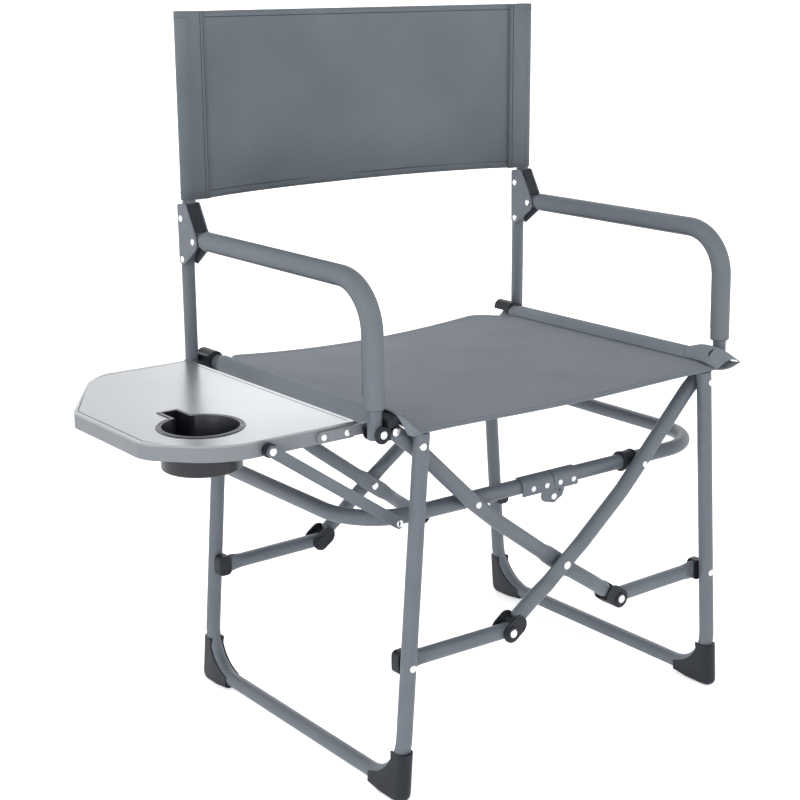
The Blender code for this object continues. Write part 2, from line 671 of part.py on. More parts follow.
def make_clevises(side_name, sx, body):
    """Black clevises that tie an arm post, the top of a bar and the end of the seat rail together."""
    skin = 2.5 * MM
    inner_high = BAR_TOP_Y - TUBE_R - GAP
    inner_low = inner_high - skin
    post = (sx * (ARM_X - 1.5 * MM), ARM_PIVOT[1])
    pin = (sx * ARM_PIVOT[0], ARM_PIVOT[1])
    # a half barrel over the end of the bar, hollowed so that the bar can turn under it
    barrel = arc(254 * MM, 453.5 * MM, 10.8 * MM, -10, 190, 14)
    barrel += arc(ARM_PIVOT[0], ARM_PIVOT[1], TUBE_R + 0.6 * MM, 140, 40, 8)
    web_x = sorted((sx * 268.6 * MM, sx * 265.1 * MM))
    tie_x = sorted((sx * 268.6 * MM, sx * 262.5 * MM))
    for end_name, sy in ENDS.items():
        outer_low = BAR_TOP_Y + TUBE_R + GAP
        if end_name == "rear":
            outer_low = REAR_POST_Y + ARM_R + GAP
        outer_high = outer_low + skin
        name = "clevis_{}_{}".format(end_name, side_name)
        disc = plate(arc(post[0], post[1], 9.8 * MM, 0, 340, 17), "xz", sy * outer_low, sy * outer_high)
        outer = make_piece(name, disc, body, "plastic")
        deep = sorted((sy * inner_low, sy * outer_high))
        cheek = plate(capsule(post, pin, 9.8 * MM, 9.4 * MM, 8), "xz", sy * inner_low, sy * inner_high)
        extras = {"in": cheek,
                  "barrel": plate(mirrored(barrel, sx), "xz", deep[0], deep[1]),
                  "tie": box((tie_x[0], deep[0], 452.3 * MM), (tie_x[1], deep[1], 460 * MM)),
                  "web": box((web_x[0], deep[0], 437 * MM), (web_x[1], deep[1], 456 * MM))}
        if side_name == "left":
            reach = TABLE_FRONT + 3.3 * MM if end_name == "front" else TABLE_REAR - 0.8 * MM
            lug_y = sorted((sy * (inner_high - 1 * MM), sy * reach))
            extras["lug"] = plate(arc(-TABLE_HINGE[0], TABLE_HINGE[1], 6.4 * MM, 0, 345, 15), "xz",
                                  lug_y[0], lug_y[1])
        for label, shape in extras.items():
            join(outer, make_piece("join_{}_{}".format(label, name), shape, body, "plastic"))


def make_bracket(side_name, sx, body):
    """Two steel plates and a black block that carry the back post above the arm's rear bend."""
    outline = [(208 * MM, 655 * MM), (188 * MM, 658 * MM), (161.5 * MM, 611 * MM), (165 * MM, 602 * MM),
               (198 * MM, 577 * MM), (207 * MM, 582 * MM)]
    outline = soften(outline, (3 * MM, 5 * MM, 6 * MM, 6 * MM, 5 * MM, 3 * MM), 3)
    skin = 2 * MM
    for label, direction in (("outer", 1), ("inner", -1)):
        near = sx * ARM_X + sx * direction * (ARM_R + GAP)
        far = near + sx * direction * skin
        make_piece("bracket_{}_{}".format(label, side_name),
                   plate(outline, "yz", min(near, far), max(near, far)), body, "frame")
    block = [(185.6 * MM, 657 * MM), (186.2 * MM, 622 * MM), (169.5 * MM, 622 * MM), (184 * MM, 653 * MM)]
    half = ARM_R - 0.1 * MM
    make_piece("bracket_block_" + side_name,
               plate(block, "yz", sx * ARM_X - half, sx * ARM_X + half), body, "plastic")


def make_back():
    for side_name, sx in SIDES.items():
        x = sx * ARM_X
        post = sweep([(x, BACK_Y, BACK_PIVOT[1] - 6 * MM), (x, BACK_Y, BACK_TOP)], ARM_R, TUBE_SIDES,
                     cap=(3 * MM, 1.5 * MM))
        make_piece("back_post_" + side_name, post, BODY["back_" + side_name], "frame")
    cloth = 1.2 * MM
    clear = ARM_R + 0.4 * MM
    wall = clear + cloth
    edge = ARM_X - 13 * MM
    outline = [(-edge, BACK_Y - 1 * MM), (0, BACK_Y - 0.2 * MM), (edge, BACK_Y - 1 * MM)]
    outline += arc(ARM_X, BACK_Y, wall, 225, 495, 14)
    outline += [(edge, BACK_Y + 1 * MM), (0, BACK_Y + 1.4 * MM), (-edge, BACK_Y + 1 * MM)]
    outline += arc(-ARM_X, BACK_Y, wall, 45, 315, 14)
    panel = make_piece("back_fabric", plate(outline, "xy", BACK_BOTTOM, BACK_TOP + 4 * MM),
                       BODY["back_left"], "fabric")
    for side_name, sx in SIDES.items():
        tunnel = rod((sx * ARM_X, BACK_Y, BACK_BOTTOM - 10 * MM), (sx * ARM_X, BACK_Y, BACK_TOP + GAP),
                     clear, 16)
        cut(panel, as_guide(make_piece("cut_tunnel_" + side_name, tunnel, BODY["back_left"], "fabric")))


# ---------------------------------------------------------------- side table

def table_outline(inset):
    corners = [(-TABLE_IN - inset, TABLE_REAR - inset), (-TABLE_IN - inset, -TABLE_FRONT + inset),
               (-TABLE_OUT + 62 * MM, -TABLE_FRONT + inset), (-TABLE_OUT + inset, -TABLE_FRONT + 66 * MM),
               (-TABLE_OUT + inset, 50 * MM), (-TABLE_OUT + 76 * MM, 165 * MM),
               (-TABLE_OUT + 108 * MM, TABLE_REAR - inset)]
    return soften(corners, (3 * MM, 3 * MM, 90 * MM, 40 * MM, 12 * MM, 12 * MM, 30 * MM), 5)


def make_table():
    body = BODY["table"]
    floor = TABLE_TOP - TABLE_DEEP
    wall = 2.0 * MM
    tray = make_piece("table_rim", plate(table_outline(0), "xy", floor, TABLE_TOP), body, "frame")
    well = plate(table_outline(6 * MM), "xy", TABLE_TOP - 2.5 * MM, TABLE_TOP + 5 * MM)
    cut(tray, as_guide(make_piece("cut_rim_top", well, body, "frame")))
    under = plate(table_outline(wall), "xy", floor - 5 * MM, TABLE_TOP - 4 * MM)
    cut(tray, as_guide(make_piece("cut_rim_under", under, body, "frame")))
    sheet = plate(table_outline(6.3 * MM), "xy", TABLE_TOP - 2.2 * MM, TABLE_TOP - 0.4 * MM)
    panel = make_piece("table_top", sheet, body, "top")
    slot = (-CUP_X + 1 * MM, CUP_Y + CUP_R + 28 * MM)
    hole_high = TABLE_TOP + 10 * MM
    hole_low = floor - 20 * MM
    for target, label, room in ((tray, "rim", -1.7 * MM), (panel, "panel", GAP)):
        hole = rod((-CUP_X, CUP_Y, hole_low), (-CUP_X, CUP_Y, hole_high), CUP_RING_R + room, 40)
        cut(target, as_guide(make_piece("cut_cup_" + label, hole, body, "frame")))
        half = 13.5 * MM + room
        notch = box((slot[0] - half, CUP_Y, hole_low), (slot[0] + half, slot[1] + 4 * MM + room, hole_high))
        cut(target, as_guide(make_piece("cut_notch_" + label, notch, body, "frame")))
    make_cup(slot, body)
    for end_name, sy in ENDS.items():
        face = TABLE_FRONT if end_name == "front" else TABLE_REAR
        outline = capsule((-TABLE_HINGE[0], TABLE_HINGE[1]), (-337 * MM, 446.5 * MM), 6 * MM, 6 * MM, 6)
        y = sorted((sy * (face - 0.5 * MM), sy * (face + 2.7 * MM)))
        join(tray, make_piece("join_plate_" + end_name, plate(outline, "xz", y[0], y[1]), body, "frame"))
        make_support(end_name, sy)


def make_cup(slot, body):
    """A moulded cup with a flange in the table top and a slot at its rear."""
    flange_high = TABLE_TOP + 0.9 * MM
    bottom = TABLE_TOP - CUP_DEPTH
    cup = make_piece("cup_holder",
                     rod((-CUP_X, CUP_Y, bottom), (-CUP_X, CUP_Y, flange_high), CUP_R, 40), body, "plastic")
    flange_low = TABLE_TOP - 2.2 * MM
    flange = rod((-CUP_X, CUP_Y, flange_low), (-CUP_X, CUP_Y, flange_high), CUP_RING_R, 40)
    join(cup, make_piece("join_flange", flange, body, "plastic"))
    ear = box((slot[0] - 13.5 * MM, CUP_Y, flange_low), (slot[0] + 13.5 * MM, slot[1] + 4 * MM, flange_high))
    join(cup, make_piece("join_ear", ear, body, "plastic"))
    trough = box((slot[0] - 11.5 * MM, CUP_Y, bottom + 8 * MM),
                 (slot[0] + 11.5 * MM, slot[1] + 2 * MM, flange_high))
    join(cup, make_piece("join_trough", trough, body, "plastic"))
    hollow = rod((-CUP_X, CUP_Y, bottom + 2 * MM), (-CUP_X, CUP_Y, TABLE_TOP + 9 * MM), CUP_R - 2 * MM, 40)
    cut(cup, as_guide(make_piece("cut_cup_inside", hollow, body, "plastic")))
    groove = box((slot[0] - 9.5 * MM, CUP_Y, bottom + 10 * MM),
                 (slot[0] + 9.5 * MM, slot[1], TABLE_TOP + 9 * MM))
    cut(cup, as_guide(make_piece("cut_groove", groove, body, "plastic")))


def make_support(end_name, sy):
    """A flat bar from the side of the table down to the hoop, pressed over at its top."""
    body = BODY["support"]
    thick = 4.6 * MM
    low_y = HOOP_Y + TUBE_R + GAP
    high_y = low_y if end_name == "front" else TABLE_REAR + GAP
    top = Vector((-SUPPORT_TOP[0], sy * (high_y + thick / 2), SUPPORT_TOP[1]))
    low = Vector((-SUPPORT_LOW[0], sy * (low_y + thick / 2), SUPPORT_LOW[1]))
    half = 6.6 * MM
    along = Vector((low.x - top.x, 0, low.z - top.z)).normalized()
    knee = top + along * 34 * MM
    knee.y = top.y
    path = [top - along * 5 * MM, top, knee, low, low + along * 5 * MM]
    bar = bmesh.new()
    normal = Vector((0, 1, 0))
    side = along.cross(normal).normalized()
    normal = side.cross(along).normalized()
    rings = []
    for index, point in enumerate(path):
        width = half * (0.66 if index in (0, len(path) - 1) else 1)
        offsets = ((width, thick / 2), (-width, thick / 2), (-width, -thick / 2), (width, -thick / 2))
        rings.append([bar.verts.new(point + side * a + normal * b) for a, b in offsets])
    for first, second in zip(rings, rings[1:]):
        for k in range(4):
            bar.faces.new((first[k], first[(k + 1) % 4], second[(k + 1) % 4], second[k]))
    bar.faces.new(list(reversed(rings[0])))
    bar.faces.new(rings[-1])
    make_piece("table_support_" + end_name, bar, body, "frame")


make_legs()
make_bars()
make_links()
make_hoop()
make_seat()
make_arms()
make_back()
make_table()
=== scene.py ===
"""Looks of a folding camp director chair with a side table.

Lengths are millimetres in the chair's own frame: x = 0 is the middle of the seat, the chair faces -Y
and the floor is z = 0. add() turns them into the row frame's metres.
"""
import math

import bmesh
import bpy
from mathutils import Matrix, Vector


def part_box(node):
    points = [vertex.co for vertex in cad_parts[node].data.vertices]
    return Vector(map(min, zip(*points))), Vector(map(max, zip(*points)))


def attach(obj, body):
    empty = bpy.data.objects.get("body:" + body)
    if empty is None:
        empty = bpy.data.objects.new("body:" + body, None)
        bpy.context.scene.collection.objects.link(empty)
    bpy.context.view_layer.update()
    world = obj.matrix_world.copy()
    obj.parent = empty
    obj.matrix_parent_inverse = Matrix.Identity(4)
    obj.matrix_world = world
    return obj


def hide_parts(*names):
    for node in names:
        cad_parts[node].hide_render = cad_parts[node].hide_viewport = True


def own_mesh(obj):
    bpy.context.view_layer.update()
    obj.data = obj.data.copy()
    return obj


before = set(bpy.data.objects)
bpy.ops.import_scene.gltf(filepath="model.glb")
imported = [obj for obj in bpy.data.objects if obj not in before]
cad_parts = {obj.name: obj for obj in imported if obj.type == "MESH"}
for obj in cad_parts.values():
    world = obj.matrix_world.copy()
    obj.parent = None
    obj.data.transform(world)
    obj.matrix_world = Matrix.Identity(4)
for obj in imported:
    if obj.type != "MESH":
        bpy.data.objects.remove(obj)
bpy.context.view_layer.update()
MM = 0.001

seat_low, seat_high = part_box("seat_fabric")
MIDDLE = (seat_low.x + seat_high.x) / 2
SIDES = {"left": -1, "right": 1}
ENDS = {"front": -1, "rear": 1}

# tubes
TUBE_R = 9.5
ARM_R = 8.5
SLEEVE_R = 12.2
LEG_TOP_Z = 441
LEG_X_FLOOR = 260.2
LEG_SPLAY = 0.0737
LEG_Y = 215.5
RAIL_Z = 15
LEG_BEND = 62
CENTRE_Z = 230
LEG_PIVOT = (232, 427)
ARM_PIVOT = (255, 444)
HOOP_PIVOT = (134, 333)
LINK_PIVOT = (90.3, 165)
LINK_LEG = (248, 165)
BAR_BEND = (98, 303)
HOOP_X = 283
HOOP_Y = 174.5
HOOP_Z = 331
HOOP_BEND = 75
HOOP_PIN_Z = 312
BAR_TOP_Y = 196.2
BAR_MID_Y = {"left": 193.1, "right": 206.2}  # at the crossing, where one bar passes outside the other
BAR_HOOP_Y = {"left": 194.0, "right": 199.0}
BAR_STOP = 18.7  # from the link's pivot back to the bar's low end
LINK_Y = 203.3
LINK_LEG_Y = 199.4
SEAT_RAIL_X = 252
SEAT_RAIL_Z = 450
ARM_X = 277.5
ARM_Z = 612
POST_BOTTOM = 437
FRONT_POST_Y = 195.5
REAR_POST_Y = 204.4
BACK_Y = 196
BACK_TOP = 887
TABLE_TOP = 457

# plates, rivets and clearances
GAP = 0.3  # left between a bore and the tube in it, and between stacked pieces
SUNK = 0.4  # how far a rivet's rim sits in a round tube
CROSSING_PRESS = (34, 12.4)  # reach and thickness where a bar is pressed flat at the crossing
LINK_PRESS = (30, 9.5)
LEG_RIVET = 4.6
HOOP_RIVET = 4.2
PIVOT_RIVET = 5.4
PIN_RIVET = 4.4
HINGE_RIVET = 3.7
TABLE_RIVET = 4.0
ELBOW_R = 12.2
ELBOW_IN = 9.9  # inner and outer face of an elbow's cheeks, from the link's middle
ELBOW_OUT = 12.8
CAP_HALF = 13.5
HINGE_SKIN = 1.6
HINGE_LOW = 320.6
HINGE_LENGTH = {"left": 50, "right": 40}
CLEVIS_SKIN = 2.5
CLEVIS_R = 9.8
CHEEK_SKIN = 2.0

# camera and light
CAMERA_AZIMUTH = -36.96
CAMERA_ELEVATION = 14.78
CAMERA_ROLL = -0.37
CAMERA_LENS = 72.47
CAMERA_DISTANCE = 2174.6
CAMERA_TARGET = (-15.93, 105.62, 382.16)
CAMERA_SHIFT = -0.0055
WORLD_LIGHT = 0.5
KEY_LIGHT = 34
FILL_LIGHT = 18
REAR_LIGHT = 20
PAPER_GLOW = 0.5
PAPER_FLAT = 5.0  # the paper's flat radius, its bend and its height, in metres
PAPER_BEND = 2.0
PAPER_TOP = 6.0


# ---------------- materials

class Surface:
    """A new material, with short ways to add nodes and to feed its shader."""

    def __init__(self, name, metallic=0.0, specular=0.5):
        self.material = bpy.data.materials.new(name)
        self.material.use_nodes = True
        self.nodes = self.material.node_tree.nodes
        self.shader = self.nodes["Principled BSDF"]
        self.coords = self.nodes.new("ShaderNodeTexCoord").outputs["Object"]
        self.set("Metallic", metallic)
        self.set("Specular IOR Level", specular)

    def feed(self, socket, value):
        if isinstance(value, bpy.types.NodeSocket):
            self.material.node_tree.links.new(value, socket)
        else:
            socket.default_value = value

    def set(self, socket, value):
        self.feed(self.shader.inputs[socket], value)

    def node(self, kind, result, **inputs):
        made = self.nodes.new("ShaderNode" + kind)
        for socket, value in inputs.items():
            self.feed(made.inputs[socket.replace("_", " ")], value)
        return made.outputs[result]

    def math(self, operation, *values):
        made = self.nodes.new("ShaderNodeMath")
        made.operation = operation
        for socket, value in zip(made.inputs, values):
            self.feed(socket, value)
        return made.outputs[0]

    def noise(self, scale, detail, coords=None):
        return self.node("TexNoise", "Fac", Vector=coords or self.coords, Scale=scale, Detail=detail)

    def tint(self, source, low, high, start=0.0, stop=1.0):
        made = self.nodes.new("ShaderNodeValToRGB")
        for element, place, colour in zip(made.color_ramp.elements, (start, stop), (low, high)):
            element.position = place
            element.color = (*colour, 1)
        self.feed(made.inputs["Fac"], source)
        return made.outputs["Color"]

    def rough(self, source, low, high):
        self.set("Roughness", self.node("MapRange", "Result", Value=source, To_Min=low, To_Max=high))

    def bump(self, height, strength, distance):
        self.set("Normal", self.node("Bump", "Normal", Height=height, Strength=strength, Distance=distance))


def speckled(name, dark, light, scale, rough, bump_size, metallic=0.0, specular=0.5, coarse=14.0):
    """A coated or moulded surface: slow colour drift, fine grain in the gloss and a grain bump."""
    made = Surface(name, metallic, specular)
    made.set("Base Color", made.tint(made.noise(coarse, 4.0), dark, light, 0.3, 0.7))
    grain = made.noise(scale, 2.0)
    made.rough(grain, *rough)
    if bump_size:
        made.bump(grain, 0.35, bump_size)
    return made.material


def woven(name, dark, light, axes, pitch=0.0011, sheen=0.15, painted_shade=None):
    """Plain weave: two crossed sets of threads, uneven yarn colour, a soft cloud over the cloth and, if
    painted_shade is given, painted shade that darkens it towards the bottom.
    """
    made = Surface(name, 0.0, 0.25)
    split = made.nodes.new("ShaderNodeSeparateXYZ")
    made.feed(split.inputs["Vector"], made.coords)
    waves = [made.math("SINE", made.math("MULTIPLY", split.outputs[axis], 2 * math.pi / pitch))
             for axis in axes]
    yarn = made.noise(900.0, 2.0)
    height = made.math("MULTIPLY_ADD", made.math("MULTIPLY", *waves), 0.5, yarn)
    blend = made.math("MULTIPLY_ADD", height, 0.35, made.noise(9.0, 3.0))
    colour = made.tint(blend, dark, light, 0.25, 1.0)
    # painted shade: the colour is scaled down towards the bottom of the cloth, a painted shadow gradient
    if painted_shade:
        low, high, dimmest, brightest = painted_shade
        level = made.node("MapRange", "Result", Value=split.outputs["Z"], From_Min=low, From_Max=high,
                          To_Min=dimmest, To_Max=brightest)
        level.node.interpolation_type = "SMOOTHSTEP"
        shade_scale = made.nodes.new("ShaderNodeVectorMath")
        shade_scale.operation = "SCALE"
        made.feed(shade_scale.inputs[0], colour)
        made.feed(shade_scale.inputs["Scale"], level)
        colour = shade_scale.outputs["Vector"]
    made.set("Base Color", colour)
    made.rough(yarn, 0.72, 0.92)
    made.set("Sheen Weight", sheen)
    made.set("Sheen Roughness", 0.5)
    made.bump(height, 0.4, 0.0003)
    return made.material


def brushed(name, dark, light, rough):
    """Bright metal with fine streaks."""
    made = Surface(name, 1.0)
    stretched = made.node("Mapping", "Vector", Vector=made.coords, Scale=(1.0, 9.0, 1.0))
    streak = made.noise(220.0, 4.0, stretched)
    made.set("Base Color", made.tint(streak, dark, light, 0.3, 0.75))
    made.rough(streak, *rough)
    return made.material


PAINT = speckled("frame_paint", (0.1, 0.115, 0.136), (0.115, 0.131, 0.153), 1500.0,
                 (0.42, 0.54), 0.00008, 0.15, 0.35)
BAND = speckled("table_band_paint", (0.15, 0.163, 0.18), (0.165, 0.18, 0.197), 1500.0,
                (0.4, 0.52), 0.00008, 0.2, 0.5)
TABLE = speckled("table_satin", (0.25, 0.262, 0.28), (0.27, 0.283, 0.3), 900.0,
                 (0.27, 0.31), 0.0, 0.75, 0.5, 8.0)
PLASTIC = speckled("black_moulding", (0.008, 0.01, 0.015), (0.012, 0.014, 0.02), 1100.0,
                   (0.42, 0.56), 0.0001, 0.0, 0.25)
CUP = speckled("cup_moulding", (0.006, 0.007, 0.011), (0.009, 0.011, 0.016), 700.0,
               (0.3, 0.42), 0.00006, 0.0, 0.45)
GRIP = speckled("grip_cover", (0.105, 0.12, 0.14), (0.121, 0.137, 0.158), 420.0,
                (0.55, 0.68), 0.0002, 0.0, 0.3)
STEEL = brushed("rivet_steel", (0.62, 0.63, 0.65), (0.86, 0.86, 0.87), (0.2, 0.36))
# the back cloth is darkened towards its bottom hem: painted shade
BACK_CLOTH = woven("back_weave", (0.082, 0.098, 0.114), (0.125, 0.145, 0.165), ("X", "Z"),
                   painted_shade=(0.66, 0.76, 0.78, 1.0))
SEAT_CLOTH = woven("seat_weave", (0.118, 0.135, 0.155), (0.162, 0.184, 0.208), ("X", "Y"), sheen=0.05)
THREAD = woven("seam_thread", (0.03, 0.036, 0.044), (0.06, 0.07, 0.08), ("X", "Z"), 0.0006)
# painted shade: near-black for thin lines and strips laid in creases, under the grips and in grooves, where
# shade falls
SHADE_LINE = speckled("painted_crease_shade", (0.016, 0.018, 0.022), (0.03, 0.034, 0.04), 600.0, (0.6, 0.8), 0.0001)


# ---------------- mesh helpers

def baked(name, bm):
    mesh = bpy.data.meshes.new(name)
    bm.to_mesh(mesh)
    bm.free()
    return mesh


def placed(name, data):
    obj = bpy.data.objects.new(name, data)
    bpy.context.scene.collection.objects.link(obj)
    return obj


def add(name, bm, body, material, smooth=38, bevel=0.0, nodes=(), closed=True):
    """A finished piece in the row frame, riding on its body, in place of the nodes it names."""
    if closed:
        bmesh.ops.recalc_face_normals(bm, faces=bm.faces[:])
    for vert in bm.verts:
        vert.co = Vector((MIDDLE + vert.co.x * MM, vert.co.y * MM, vert.co.z * MM))
    mesh = baked(name, bm)
    obj = placed(name, mesh)
    mesh.materials.append(material)
    mesh.shade_smooth()
    mesh.set_sharp_from_angle(angle=math.radians(smooth))
    if bevel:
        edge = obj.modifiers.new("edges", "BEVEL")
        edge.width = bevel * MM
        edge.segments = 2
        edge.limit_method = "ANGLE"
        edge.angle_limit = math.radians(smooth)
        edge.harden_normals = True
    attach(obj, body)
    if nodes:
        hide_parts(*nodes)
    return obj


def merged(parts):
    """Several bmeshes in one."""
    out = bmesh.new()
    for bm in parts:
        mesh = baked("part", bm)
        out.from_mesh(mesh)
        bpy.data.meshes.remove(mesh)
    return out


def scratch(bm):
    bmesh.ops.remove_doubles(bm, verts=bm.verts[:], dist=1e-4)
    bmesh.ops.recalc_face_normals(bm, faces=bm.faces[:])
    return placed("scratch", baked("scratch", bm))


def shaped(base, joins=(), cuts=()):
    """A base shape with others joined to it, and then others cut away."""
    whole = scratch(base)
    others = []
    for operation, shapes in (("UNION", joins), ("DIFFERENCE", cuts)):
        for bm in shapes:
            others.append(scratch(bm))
            step = whole.modifiers.new(operation, "BOOLEAN")
            step.operation = operation
            step.solver = "EXACT"
            step.object = others[-1]
    bpy.context.view_layer.update()
    out = bmesh.new()
    out.from_object(whole, bpy.context.evaluated_depsgraph_get())
    for obj in [whole] + others:
        mesh = obj.data
        bpy.data.objects.remove(obj, do_unlink=True)
        bpy.data.meshes.remove(mesh)
    return out


def round_path(points, radii, step_deg=4.0):
    """A polyline with its inner corners replaced by arcs of the given radii."""
    path = [Vector(points[0])]
    for index in range(1, len(points) - 1):
        corner = Vector(points[index])
        before = (Vector(points[index - 1]) - corner).normalized()
        after = (Vector(points[index + 1]) - corner).normalized()
        turn = math.pi - before.angle(after)
        radius = radii[index - 1]
        if turn < 1e-4:
            path.append(corner)
            continue
        reach = radius * math.tan(turn / 2)
        centre = corner + (before + after).normalized() * (radius / math.cos(turn / 2))
        start = corner + before * reach - centre
        end = corner + after * reach - centre
        count = max(3, math.ceil(math.degrees(turn) / step_deg))
        for k in range(count + 1):
            path.append(centre + start.normalized().slerp(end.normalized(), k / count) * radius)
    path.append(Vector(points[-1]))
    return path


def dense(path, step):
    out = [path[0]]
    for a, b in zip(path, path[1:]):
        count = max(1, math.ceil((b - a).length / step))
        for k in range(1, count + 1):
            out.append(a.lerp(b, k / count))
    return out


def ease(t):
    t = min(1, max(0, t))
    return t * t * (3 - 2 * t)


def mix(a, b, t):
    return a + (b - a) * t


def pressed(where, reach, thickness, radius):
    """(thickness factor, width factor) near a point where a tube is pressed flat."""
    spot = Vector(where)

    def factors(point):
        amount = ease((reach - (point - spot).length) / (reach * 0.45))
        thin = mix(1, thickness / (2 * radius), amount)
        return thin, 1 + 0.55 * (1 - thin)

    return factors


def rolled(end, inner, size):
    """Stations (point, shrink) that round off one end of a tube, from its tip inwards."""
    if not size:
        return [(end, 0.0)]
    inward = (inner - end).normalized()
    out = []
    for degrees in (0, 30, 60, 90):
        angle = math.radians(degrees)
        out.append((end + inward * size * (1 - math.cos(angle)), size * (1 - math.sin(angle))))
    return out


def skin_rings(bm, rings):
    """The faces between rings of vertices, and a cap at each end."""
    count = len(rings[0])
    for low, high in zip(rings, rings[1:]):
        for k in range(count):
            n = (k + 1) % count
            bm.faces.new((low[k], low[n], high[n], high[k]))
    bm.faces.new(list(reversed(rings[0])))
    bm.faces.new(rings[-1])


def tube(points, radius, sides=32, press=None, roll=(1.2, 1.2), flat_axis=(0, 1, 0)):
    """A round bar along a path, its ends rolled over by the two sizes in roll."""
    bm = bmesh.new()
    path = [Vector(p) for p in points]
    stations = rolled(path[0], path[1], roll[0]) + [(point, 0.0) for point in path[1:-1]]
    stations += reversed(rolled(path[-1], path[-2], roll[1]))
    axis = Vector(flat_axis)
    up = None
    rings = []
    for index, (point, shrink) in enumerate(stations):
        ahead = stations[min(index + 1, len(stations) - 1)][0] - point
        behind = point - stations[max(index - 1, 0)][0]
        direction = (ahead.normalized() + behind.normalized()).normalized()
        if up is None:
            up = axis - direction * axis.dot(direction)
            if up.length < 0.1:
                up = Vector((1, 0, 0)) - direction * direction.x
        up = (up - direction * up.dot(direction)).normalized()
        side = direction.cross(up)
        thin, wide = press(point) if press else (1, 1)
        size = radius - shrink
        ring = []
        for k in range(sides):
            angle = 2 * math.pi * k / sides
            ring.append(bm.verts.new(point + up * (math.cos(angle) * size * thin)
                                     + side * (math.sin(angle) * size * wide)))
        rings.append(ring)
    skin_rings(bm, rings)
    return bm


def lathe(centre, axis, profile, sides=28):
    """Turns (distance along the axis, radius) pairs round an axis."""
    bm = bmesh.new()
    axis = Vector(axis).normalized()
    up = axis.orthogonal().normalized()
    side = axis.cross(up)
    centre = Vector(centre)
    rings = []
    for along, radius in profile:
        base = centre + axis * along
        if radius < 1e-6:
            rings.append([bm.verts.new(base)])
            continue
        ring = []
        for k in range(sides):
            angle = 2 * math.pi * k / sides
            ring.append(bm.verts.new(base + (up * math.cos(angle) + side * math.sin(angle)) * radius))
        rings.append(ring)
    for low, high in zip(rings, rings[1:]):
        for k in range(sides):
            n = (k + 1) % sides
            if len(low) == 1:
                bm.faces.new((low[0], high[n], high[k]))
            elif len(high) == 1:
                bm.faces.new((low[k], low[n], high[0]))
            else:
                bm.faces.new((low[k], low[n], high[n], high[k]))
    return bm


def disc(centre, axis, radius, depth, sides=28):
    return lathe(centre, axis, [(0, 0), (0, radius), (depth, radius), (depth, 0)], sides)


def rivet(centre, axis, radius=4.4, dimple=False):
    """A domed head with a small rim, seen from outside along axis."""
    height = radius * 0.42
    profile = [(-1.5, 0), (-1.5, radius * 0.96), (0.1, radius * 0.96)]
    for k in range(1, 7):
        angle = math.radians(90 * k / 7)
        profile.append((height * math.sin(angle), radius * math.cos(angle)))
    if dimple:
        profile += [(height, radius * 0.26), (height * 0.3, radius * 0.2), (height * 0.25, 0)]
    else:
        profile += [(height, 0)]
    return lathe(centre, axis, profile, 24)


def plate(outline, plane, low, high):
    """An outline extruded between two distances along the axis that is not in its plane."""
    bm = bmesh.new()

    def lift(point, depth):
        a, b = point
        return {"xz": (a, depth, b), "yz": (depth, a, b), "xy": (a, b, depth)}[plane]

    bottom = [bm.verts.new(lift(p, low)) for p in outline]
    top = [bm.verts.new(lift(p, high)) for p in outline]
    skin_rings(bm, [bottom, top])
    bmesh.ops.recalc_face_normals(bm, faces=bm.faces[:])
    return bm


def box(low, high):
    return plate([(low[0], low[1]), (high[0], low[1]), (high[0], high[1]), (low[0], high[1])],
                 "xy", low[2], high[2])


def arc(cx, cy, radius, start_deg, end_deg, count):
    out = []
    for k in range(count + 1):
        angle = math.radians(start_deg + (end_deg - start_deg) * k / count)
        out.append((cx + radius * math.cos(angle), cy + radius * math.sin(angle)))
    return out


def capsule(a, b, radius_a, radius_b, count=16):
    """The outline around two circles of different size."""
    ax, ay = a
    bx, by = b
    heading = math.degrees(math.atan2(by - ay, bx - ax))
    lean = math.degrees(math.asin((radius_a - radius_b) / math.hypot(bx - ax, by - ay)))
    return (arc(ax, ay, radius_a, heading + 90 - lean, heading + 270 + lean, count)
            + arc(bx, by, radius_b, heading - 90 + lean, heading + 90 - lean, count))


def soften(outline, radii, count=8):
    """An outline with its corners rounded."""
    total = len(outline)
    out = []
    for k in range(total):
        corner = Vector((*outline[k], 0))
        before = (Vector((*outline[k - 1], 0)) - corner).normalized()
        after = (Vector((*outline[(k + 1) % total], 0)) - corner).normalized()
        radius = radii[k]
        half = before.angle(after) / 2
        centre = corner + (before + after).normalized() * (radius / math.sin(half))
        start = corner + before * (radius / math.tan(half)) - centre
        end = corner + after * (radius / math.tan(half)) - centre
        for step in range(count + 1):
            point = centre + start.normalized().slerp(end.normalized(), step / count) * radius
            out.append((point.x, point.y))
    return out


def mirrored(outline, sign):
    return [(sign * a, b) for a, b in outline]


def cloth_grid(rows):
    """A sheet through rows of points."""
    bm = bmesh.new()
    made = [[bm.verts.new(Vector(p)) for p in row] for row in rows]
    for low, high in zip(made, made[1:]):
        for k in range(len(low) - 1):
            bm.faces.new((low[k], low[k + 1], high[k + 1], high[k]))
    return bm


def spread(columns, rows, place):
    """A sheet through place(s, t), where s and t go from 0 to 1."""
    return cloth_grid([[place(i / columns, j / rows) for i in range(columns + 1)] for j in range(rows + 1)])


def thicken(obj, thickness, levels=1):
    smooth = obj.modifiers.new("smooth", "SUBSURF")
    smooth.boundary_smooth = "PRESERVE_CORNERS"
    smooth.levels = levels
    smooth.render_levels = levels
    skin = obj.modifiers.new("skin", "SOLIDIFY")
    skin.thickness = thickness * MM
    skin.offset = 0


